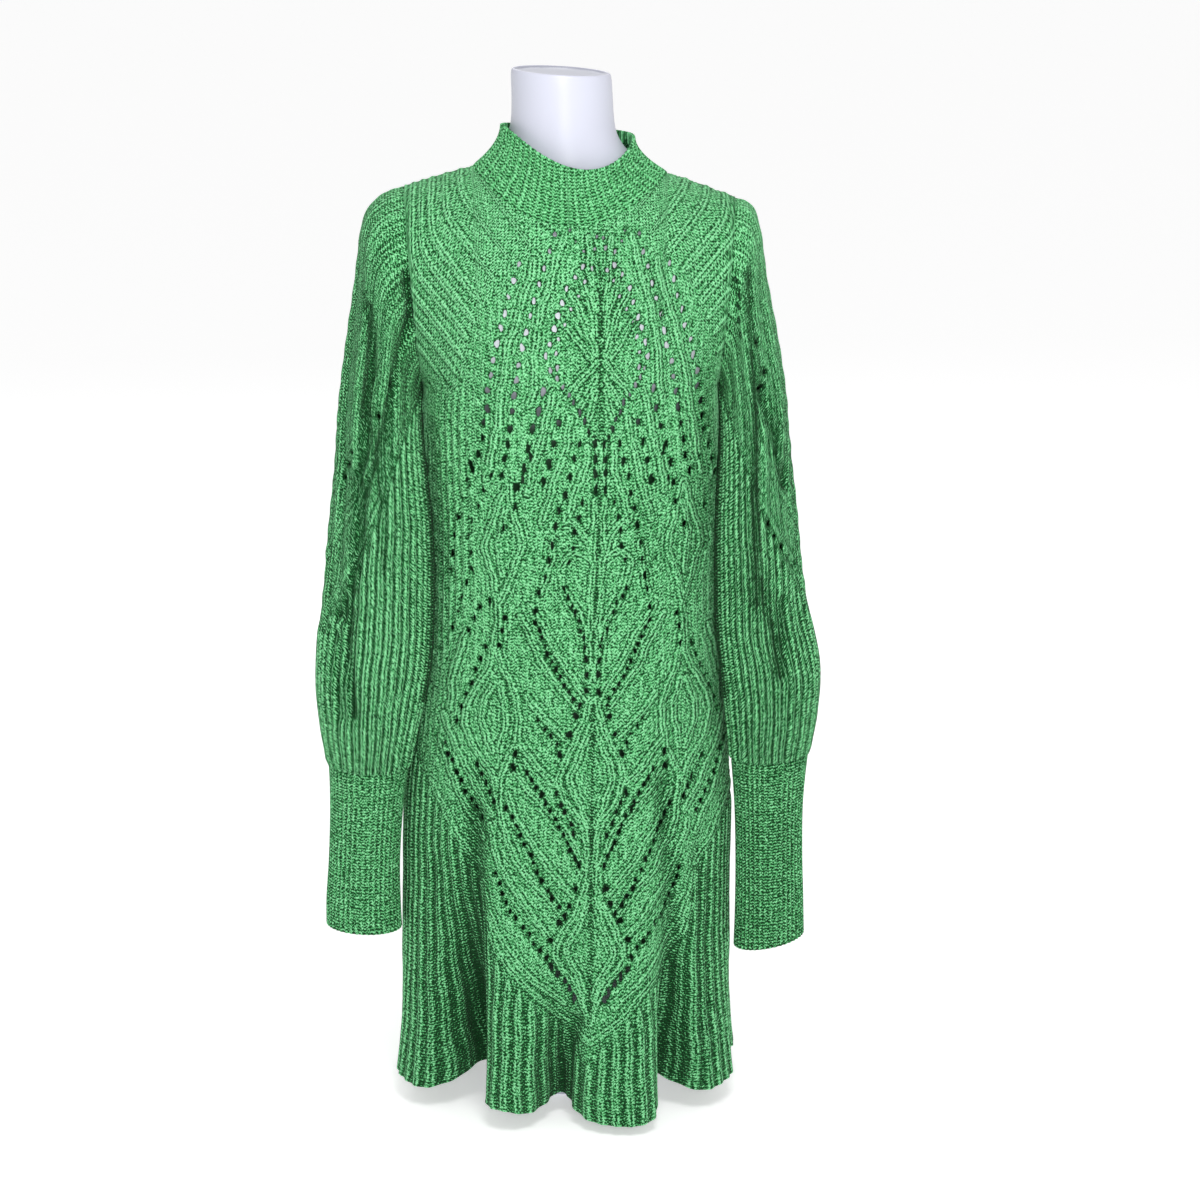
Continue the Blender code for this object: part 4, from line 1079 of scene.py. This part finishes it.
def arm_surface(table, folds, side):
    """One arm as a function of bearing and ring: ovals through the outer and inner points
    of the table, sunk where folds run down it."""
    armhole = (SHOULDER_HALF, ridge_height(side * SHOULDER_HALF), UNDERARM_HALF, UNDERARM,
               0.0, ARMHOLE_DEPTH)
    rows = np.vstack((armhole, table))
    rings = np.arange(len(rows), dtype=float)

    def surface(bearing, ring):
        out_x, out_z, in_x, in_z, mid_y, half_depth = (smooth(ring, rings, rows[:, column])
                                                       for column in range(len(ARM_COLUMNS)))
        inward = np.zeros(np.broadcast(bearing, ring).shape)
        for start, end, first, last, depth, spread in folds:
            along = np.clip((ring - start) / (end - start), 0.0, 1.0)
            turn = turn_from(bearing, first + (last - first) * along)
            inward = inward + depth * np.sin(np.pi * along) * bell(turn, spread)
        swing = (1 - inward / half_depth) * np.cos(bearing)
        x = (out_x + in_x) / 2 + (out_x - in_x) / 2 * swing
        z = (out_z + in_z) / 2 + (out_z - in_z) / 2 * swing
        y = mid_y - half_depth * (1 - inward / half_depth) * np.sin(bearing)
        return np.stack((side * x, y, z), -1)
    return surface


def tube_grid(surface, first, last, spacing, columns):
    """A grid of closed rings on an arm, whose rows lie the spacing apart in front."""
    rings = even_steps(lambda fine: surface(np.full_like(fine, np.pi / 2), fine),
                       first, last, spacing)
    ring, bearing = np.meshgrid(rings, np.arange(columns) * 2 * np.pi / columns, indexing="ij")
    return ring, bearing, surface(bearing, ring)


def rib_marks(across, along, hollow):
    """The marks of a plain ribbed piece, with no twin wales and no eyelets."""
    none = np.zeros_like(across)
    return {"across": across, "along": along, "line": none + FAR * 1000, "hollow": hollow,
            "rim": none, "lean": none, "faint": none, "edge": none + FAR}


SLEEVE_COLUMNS = 240
SLEEVE_RIBS = 38
WIDE_RIBS = 19
SLANT_PITCH = 0.0253
RIB_TOP = ((0.140, 0.690), (0.150, 0.665), (0.172, 0.592), (0.225, 0.475))


def to_nearest(count):
    """Distance to the nearest whole number."""
    return np.abs(count - np.round(count))


def sleeve_lines(swayed, out, z, upper):
    """Distance to the nearest raised wales, and how faint they are: upright ones on the
    ribs, half as many above them, and slanting ones that wrap round the arm there."""
    level = (out + 0.5 * z - 0.4455) / SLANT_PITCH
    wrapping = upper * soft_step(out - 0.162, 0.012) * soft_step(0.665 - z, 0.03)
    slanted = to_nearest(level) * 0.0226 + 0.009 * (1 - wrapping)
    turns = swayed / (2 * np.pi)
    line = np.minimum(to_nearest(SLEEVE_RIBS * turns) * 0.0078 + 0.009 * upper,
                      to_nearest(WIDE_RIBS * turns) * 0.0156 + 0.009 * (1 - upper))
    faint = np.where(slanted < line, 0.45, upper * 0.35)
    return np.minimum(line, slanted), faint, wave(2 * np.pi * 3 * level)


def sleeve_folds(creases, back_creases, front, out, z, pleated, pleats):
    """Depth of a sleeve's creases, each of the front's with a soft hollow round it, and of
    the small pleats under the shoulder."""
    soft = tuple((places, 0.16 * deep, 2.8 * width) for places, deep, width in creases)
    folds = np.where(front, crease_depth(creases, out, z) + crease_depth(soft, out, z),
                     crease_depth(back_creases, out, z))
    return np.minimum(folds, 0.0068) + 0.0014 * pleated * (1 - pleats)


def knit_sleeve(name, surface, side, creases, back_creases, eyelets, material):
    """A sleeve from its armhole to its cuff's seam.  Broad upright ribs reach up to a
    slanting line; above it pairs of wales wrap outwards and down between finer ribs."""
    ring, bearing, base = tube_grid(surface, 0, CUFF_START, 0.0021, SLEEVE_COLUMNS)
    normal = ring_normals(base) * side
    out, z = side * base[..., 0], base[..., 2]
    along = arc_along(base)
    front = np.sin(bearing) > 0

    upper = soft_step(z - look_up(out, RIB_TOP), 0.018)
    swayed = bearing + 0.010 * np.sin(55 * z + 2 * bearing)
    swayed = swayed + 0.007 * np.sin(130 * z - 3 * bearing)
    upright = wave(SLEEVE_RIBS * swayed)
    line, faint, slanting = sleeve_lines(swayed, out, z, upper)
    pleats = wave(17 * bearing + 30 * (z - 0.6) + 1.3 * np.sin(22 * z))
    pleated = upper * soft_step(0.835 - z, 0.05) * soft_step(along, 0.03)
    folds = sleeve_folds(creases, back_creases, front, out, z, pleated, pleats)
    sunk = bell(np.minimum(along, along[-1] - along), 0.0024)
    gathers = bell(ring - CUFF_START, 1.6) * np.cos(bearing * 21 + 0.8)
    edge, shift = eyelet_edges(out, np.where(front, z, z + 0.018), eyelets)

    relief = (0.0004 + 0.0022 * upright ** 0.8 * (1 - upper) + 0.0006 * slanting * upper
              - 0.0012 * sunk - folds + 0.0010 * gathers
              + 0.0008 * (1 - faint) * bell(line, 0.0027)
              - 0.0011 * bell(np.maximum(edge, 0), 0.0007))

    # painted shade: what lies deep is darker, and so is the line where the arm meets the body;
    # more painted shade covers the right sleeve's upper part and the left sleeve's lower part
    shaded = 0.14 * upper if side < 0 else 0.16 * soft_step(0.70 - z, 0.05)
    hollow = 0.72 * ((1 - upper) * (1 - upright) ** 1.3 + 0.1 * sunk
                     + 0.30 * upper * (1 - slanting) * soft_step(0.80 - z, 0.04))
    hollow = (hollow + 40 * folds + 13000 * folds**2 + 0.35 * pleated * (1 - pleats)**3 + shaded
              + 2.4 * bell(turn_from(bearing, 173.0), 12.0) * (z > 0.40))
    points, edge = open_eyelets(out, z, edge, shift, base + normal * relief[..., None])
    marks = {"across": arc_round(base), "along": along, "line": np.minimum(line, FAR) * 1000,
             "hollow": hollow, "rim": bell(np.maximum(edge, 0), 0.0012),
             "lean": -side * upper * np.sign(np.sin(bearing)) * 0.3, "faint": faint,
             "edge": edge}
    return add_cloth(name, points, marks, material, closed=True, flip=side < 0)


CUFF_RIBS = 40
COLUMNS_A_RIB = 6


def knit_cuff(name, surface, side, last, slant, material):
    """A long cuff in fine upright ribs, whose open end rolls in and rises outwards by the
    slant."""
    ring, bearing, base = tube_grid(surface, CUFF_START, last, 0.0018,
                                    CUFF_RIBS * COLUMNS_A_RIB)
    base[..., 2] += slant * np.cos(bearing) * ((ring - CUFF_START) / (last - CUFF_START)) ** 2
    normal = ring_normals(base) * side
    rib = wave(CUFF_RIBS * bearing)
    along = arc_along(base)
    sunk = bell(along, 0.0024)
    points = base + normal * (0.0002 + 0.0014 * rib - 0.0009 * sunk)[..., None]
    # painted shade in the ribs' bottoms and at the seam, and over all of the left cuff
    hollow = 0.62 * (1 - rib) ** 1.3 + 0.2 * sunk + (0.16 if side > 0 else 0)
    marks = rib_marks(arc_round(base), along, hollow)
    points, marks = add_roll(points, marks, normal, DOWN)
    return add_cloth(name, points, marks, material, closed=True, flip=side < 0)


# Creases of the sleeves' fronts and backs: a path of distance out from the body's middle
# and height, depth and width.
RIGHT_SLEEVE_CREASES = (
    (((0.1567, 0.806), (0.1660, 0.770), (0.1748, 0.734), (0.1804, 0.665), (0.1907, 0.619)),
     -0.0032, 0.0055),
    (((0.1500, 0.8015), (0.1465, 0.757), (0.1522, 0.734), (0.1645, 0.684), (0.1762, 0.642),
      (0.1880, 0.6005)), 0.0058, 0.0036),
    (((0.186, 0.771), (0.180, 0.746), (0.180, 0.718), (0.1855, 0.688), (0.186, 0.642),
      (0.196, 0.6125), (0.1935, 0.5866), (0.1937, 0.5535), (0.200, 0.5165), (0.2114, 0.4875)),
     0.0090, 0.0042),
    (((0.1686, 0.660), (0.172, 0.5866), (0.1706, 0.535)), 0.0036, 0.0040),
    (((0.2013, 0.492), (0.2045, 0.461), (0.2031, 0.4305), (0.2006, 0.393)), 0.0062, 0.0046),
    (((0.2150, 0.470), (0.2160, 0.430), (0.2120, 0.390)), 0.0035, 0.0034),
)
LEFT_SLEEVE_CREASES = (
    (((0.1625, 0.799), (0.1645, 0.760), (0.1670, 0.715), (0.1682, 0.668), (0.1675, 0.620),
      (0.1692, 0.560), (0.1684, 0.500)), 0.0088, 0.0040),
    (((0.1690, 0.712), (0.1785, 0.684), (0.1890, 0.645), (0.1985, 0.605)), 0.0056, 0.0036),
    (((0.1745, 0.660), (0.1765, 0.600), (0.1790, 0.540)), -0.0026, 0.0055),
    (((0.1743, 0.521), (0.1804, 0.492), (0.1866, 0.472), (0.1894, 0.4315)), 0.0052, 0.0042),
    (((0.1922, 0.5005), (0.1953, 0.472), (0.1949, 0.4315)), 0.0052, 0.0038),
)
SLEEVE_BACK_CREASES = (
    (((0.160, 0.795), (0.168, 0.750), (0.164, 0.700)), 0.0040, 0.0065),
    (((0.188, 0.700), (0.181, 0.640), (0.190, 0.570), (0.202, 0.510)), 0.0050, 0.0060),
    (((0.166, 0.600), (0.172, 0.530)), 0.0024, 0.0050),
    (((0.196, 0.480), (0.199, 0.425)), 0.0034, 0.0050),
)
RIGHT_SLEEVE_EYELETS = (
    (((0.1450, 0.790), (0.1445, 0.760)), 3, 0.0012, 0.0026),
    (((0.1880, 0.782), (0.1840, 0.771)), 2, 0.0012, 0.0026),
    (((0.1590, 0.702), (0.1740, 0.674)), 3, 0.0012, 0.0026),
    (((0.2000, 0.640), (0.2080, 0.612)), 3, 0.0013, 0.0028),
)
LEFT_SLEEVE_EYELETS = (
    (((0.1514, 0.793), (0.1525, 0.770), (0.1533, 0.746)), 5, 0.0014, 0.0028),
    (((0.1780, 0.711), (0.1767, 0.698)), 2, 0.0013, 0.0028),
    (((0.1676, 0.778), (0.1720, 0.7395)), 2, 0.0012, 0.0026),
    (((0.1811, 0.649), (0.1880, 0.633), (0.1941, 0.616)), 4, 0.0013, 0.0028),
    (((0.1799, 0.5755), (0.1930, 0.552), (0.2057, 0.529)), 5, 0.0013, 0.0026),
)
sleeve_yarn = yarn_material("boucle_sleeve", 3.1)
for label, table, folds, side, creases, rows, slant in (
        ("right", RIGHT_ARM, RIGHT_SLEEVE_FOLDS, -1, RIGHT_SLEEVE_CREASES,
         RIGHT_SLEEVE_EYELETS, 0.0015),
        ("left", LEFT_ARM, LEFT_SLEEVE_FOLDS, 1, LEFT_SLEEVE_CREASES,
         LEFT_SLEEVE_EYELETS, 0.0055)):
    surface = arm_surface(table, folds, side)
    sleeve = knit_sleeve("sleeve_knit_" + label, surface, side, creases, SLEEVE_BACK_CREASES,
                         set_eyelets(rows, (0,)), sleeve_yarn)
    finish_piece(sleeve, "sleeve_" + label)
    cuff = knit_cuff("cuff_knit_" + label, surface, side, len(table), slant, sleeve_yarn)
    finish_piece(cuff, "cuff_" + label)


# ------------------------------------------------------------------ collar
# A mock-neck collar in fine ribs: its flared foot is seamed to the yoke and it turns
# upright towards a rolled edge.
COLLAR_TOP_HALF = 0.0605
COLLAR_TOP_FRONT = 0.068
COLLAR_TOP_BACK = 0.060
COLLAR_TOP_HEIGHT = 0.923
COLLAR_FRONT_DIP = 0.028
COLLAR_BACK_DIP = 0.004
COLLAR_LEAN = 0.09
COLLAR_SHIFT = -0.002
COLLAR_TWIST = 14.0
COLLAR_RADIUS = 0.072
COLLAR_RIBS = 66
COLLAR_ROWS = 40
FLARE = 1.9


def collar_foot(turns):
    """The collar's seam on the yoke, by bearing round its oval: read from the yoke's top
    edge, the front's and then the back's."""
    foot = np.zeros((len(turns), 3))
    for side in (1, -1):
        known = np.linspace(-np.pi / 2, np.pi / 2, 1441) + (0 if side > 0 else np.pi)
        edge = body_surface(side)(known, np.full_like(known, 2.0))
        reach = NECK_FRONT if side > 0 else NECK_BACK
        turn = np.arctan2(edge[:, 0] / NECK_HALF, -edge[:, 1] / reach) % (2 * np.pi)
        on_oval = np.abs((edge[:, 0] / NECK_HALF) ** 2 + (edge[:, 1] / reach) ** 2 - 1) < 0.01
        order = np.argsort(turn[on_oval])
        mine = np.cos(turns) * side >= 0
        for axis in range(3):
            foot[mine, axis] = np.interp(turns[mine], turn[on_oval][order],
                                         edge[on_oval][order, axis], period=2 * np.pi)
    return foot


def knit_collar(name, material):
    """The collar: rings from its foot to its edge that rise evenly and turn upright."""
    columns = COLLAR_RIBS * COLUMNS_A_RIB
    turns = np.arange(columns) * 2 * np.pi / columns
    foot = collar_foot(turns)
    facing = np.cos(turns)
    dip_facing = np.cos(turns - np.radians(COLLAR_TWIST))
    dip = np.where(dip_facing > 0, COLLAR_FRONT_DIP, COLLAR_BACK_DIP) * dip_facing**2
    x = COLLAR_SHIFT + COLLAR_TOP_HALF * np.sin(turns)
    y = -np.where(facing > 0, COLLAR_TOP_FRONT, COLLAR_TOP_BACK) * facing
    edge = np.stack((x, y, COLLAR_TOP_HEIGHT - dip - COLLAR_LEAN * x), -1)
    height = np.linspace(0, 1, COLLAR_ROWS)[:, None, None]
    plan = 1 - (1 - height) ** FLARE
    base = foot + (edge - foot) * np.concatenate((plan, plan, height), -1)
    normal = ring_normals(base)
    rib = wave(COLLAR_RIBS * turns) * np.ones((len(base), 1))
    along = arc_along(base)
    sunk = bell(along, 0.0026)
    points = base + normal * (0.0002 + 0.0016 * rib - 0.0007 * sunk)[..., None]
    # painted shade in the ribs' bottoms and at the seam
    marks = rib_marks(turns * COLLAR_RADIUS * np.ones_like(rib), along,
                      0.30 * (1 - rib) ** 1.5 + 0.1 * sunk)
    away = points[-1] - points[-2]
    away /= np.linalg.norm(away, axis=-1, keepdims=True)
    points, marks = add_roll(points, marks, normal, away)
    return add_cloth(name, points, marks, material, closed=True)


collar = knit_collar("collar_knit", yarn_material("boucle_collar", 1.8))
finish_piece(collar, "collar")


# ------------------------------------------------------------------ floor, light, camera
# A plain white floor and soft studio light from all round, with a soft box close above
# the front.
FLOOR_HALF = 40.0
floor_mesh = bpy.data.meshes.new("floor")
corners = [(-FLOOR_HALF, -FLOOR_HALF, 0), (FLOOR_HALF, -FLOOR_HALF, 0),
           (FLOOR_HALF, FLOOR_HALF, 0), (-FLOOR_HALF, FLOOR_HALF, 0)]
floor_mesh.from_pydata(corners, [], [(0, 1, 2, 3)])
floor = bpy.data.objects.new("floor", floor_mesh)
bpy.context.scene.collection.objects.link(floor)
floor_paint, shader, any_socket = start_material("floor_paint")
shader.inputs["Base Color"].default_value = (0.90, 0.90, 0.90, 1.0)
shader.inputs["Roughness"].default_value = 0.9
shader.inputs["Emission Color"].default_value = (1.0, 1.0, 1.0, 1.0)
shader.inputs["Emission Strength"].default_value = 0.42
floor_mesh.materials.append(floor_paint)

world = bpy.data.worlds.new("studio")
world.use_nodes = True
world.node_tree.nodes["Background"].inputs["Color"].default_value = (1.0, 1.0, 1.0, 1.0)
world.node_tree.nodes["Background"].inputs["Strength"].default_value = 0.60
bpy.context.scene.world = world


def aim(thing, place, target):
    """Put a light or the camera at a place, looking at a target."""
    thing.location = place
    away = np.array(target) - np.array(place)
    pitch = np.arctan2(np.hypot(away[0], away[1]), -away[2])
    thing.rotation_euler = (pitch, 0, np.arctan2(away[1], away[0]) - np.pi / 2)
    bpy.context.scene.collection.objects.link(thing)


for name, place, size, power_in_watts in (("key", (0.15, -1.15, 1.85), 0.6, 13.7),
                                          ("side", (0.25, -3.3, 1.25), 0.8, 28.0),
                                          ("back", (-0.3, 2.2, 2.4), 1.6, 18.0)):
    lamp = bpy.data.lights.new(name, "AREA")
    lamp.size = size
    lamp.energy = power_in_watts
    aim(bpy.data.objects.new(name, lamp), place, (0, 0, 0.5))

lens = bpy.data.cameras.new("camera")
lens.sensor_width = 36.0
lens.lens = 110.88
camera = bpy.data.objects.new("camera", lens)
aim(camera, (0.0, -3.4, 1.29), (0.0276, 0.0, 0.48))
bpy.context.scene.camera = camera
bpy.context.scene.view_settings.view_transform = "Standard"
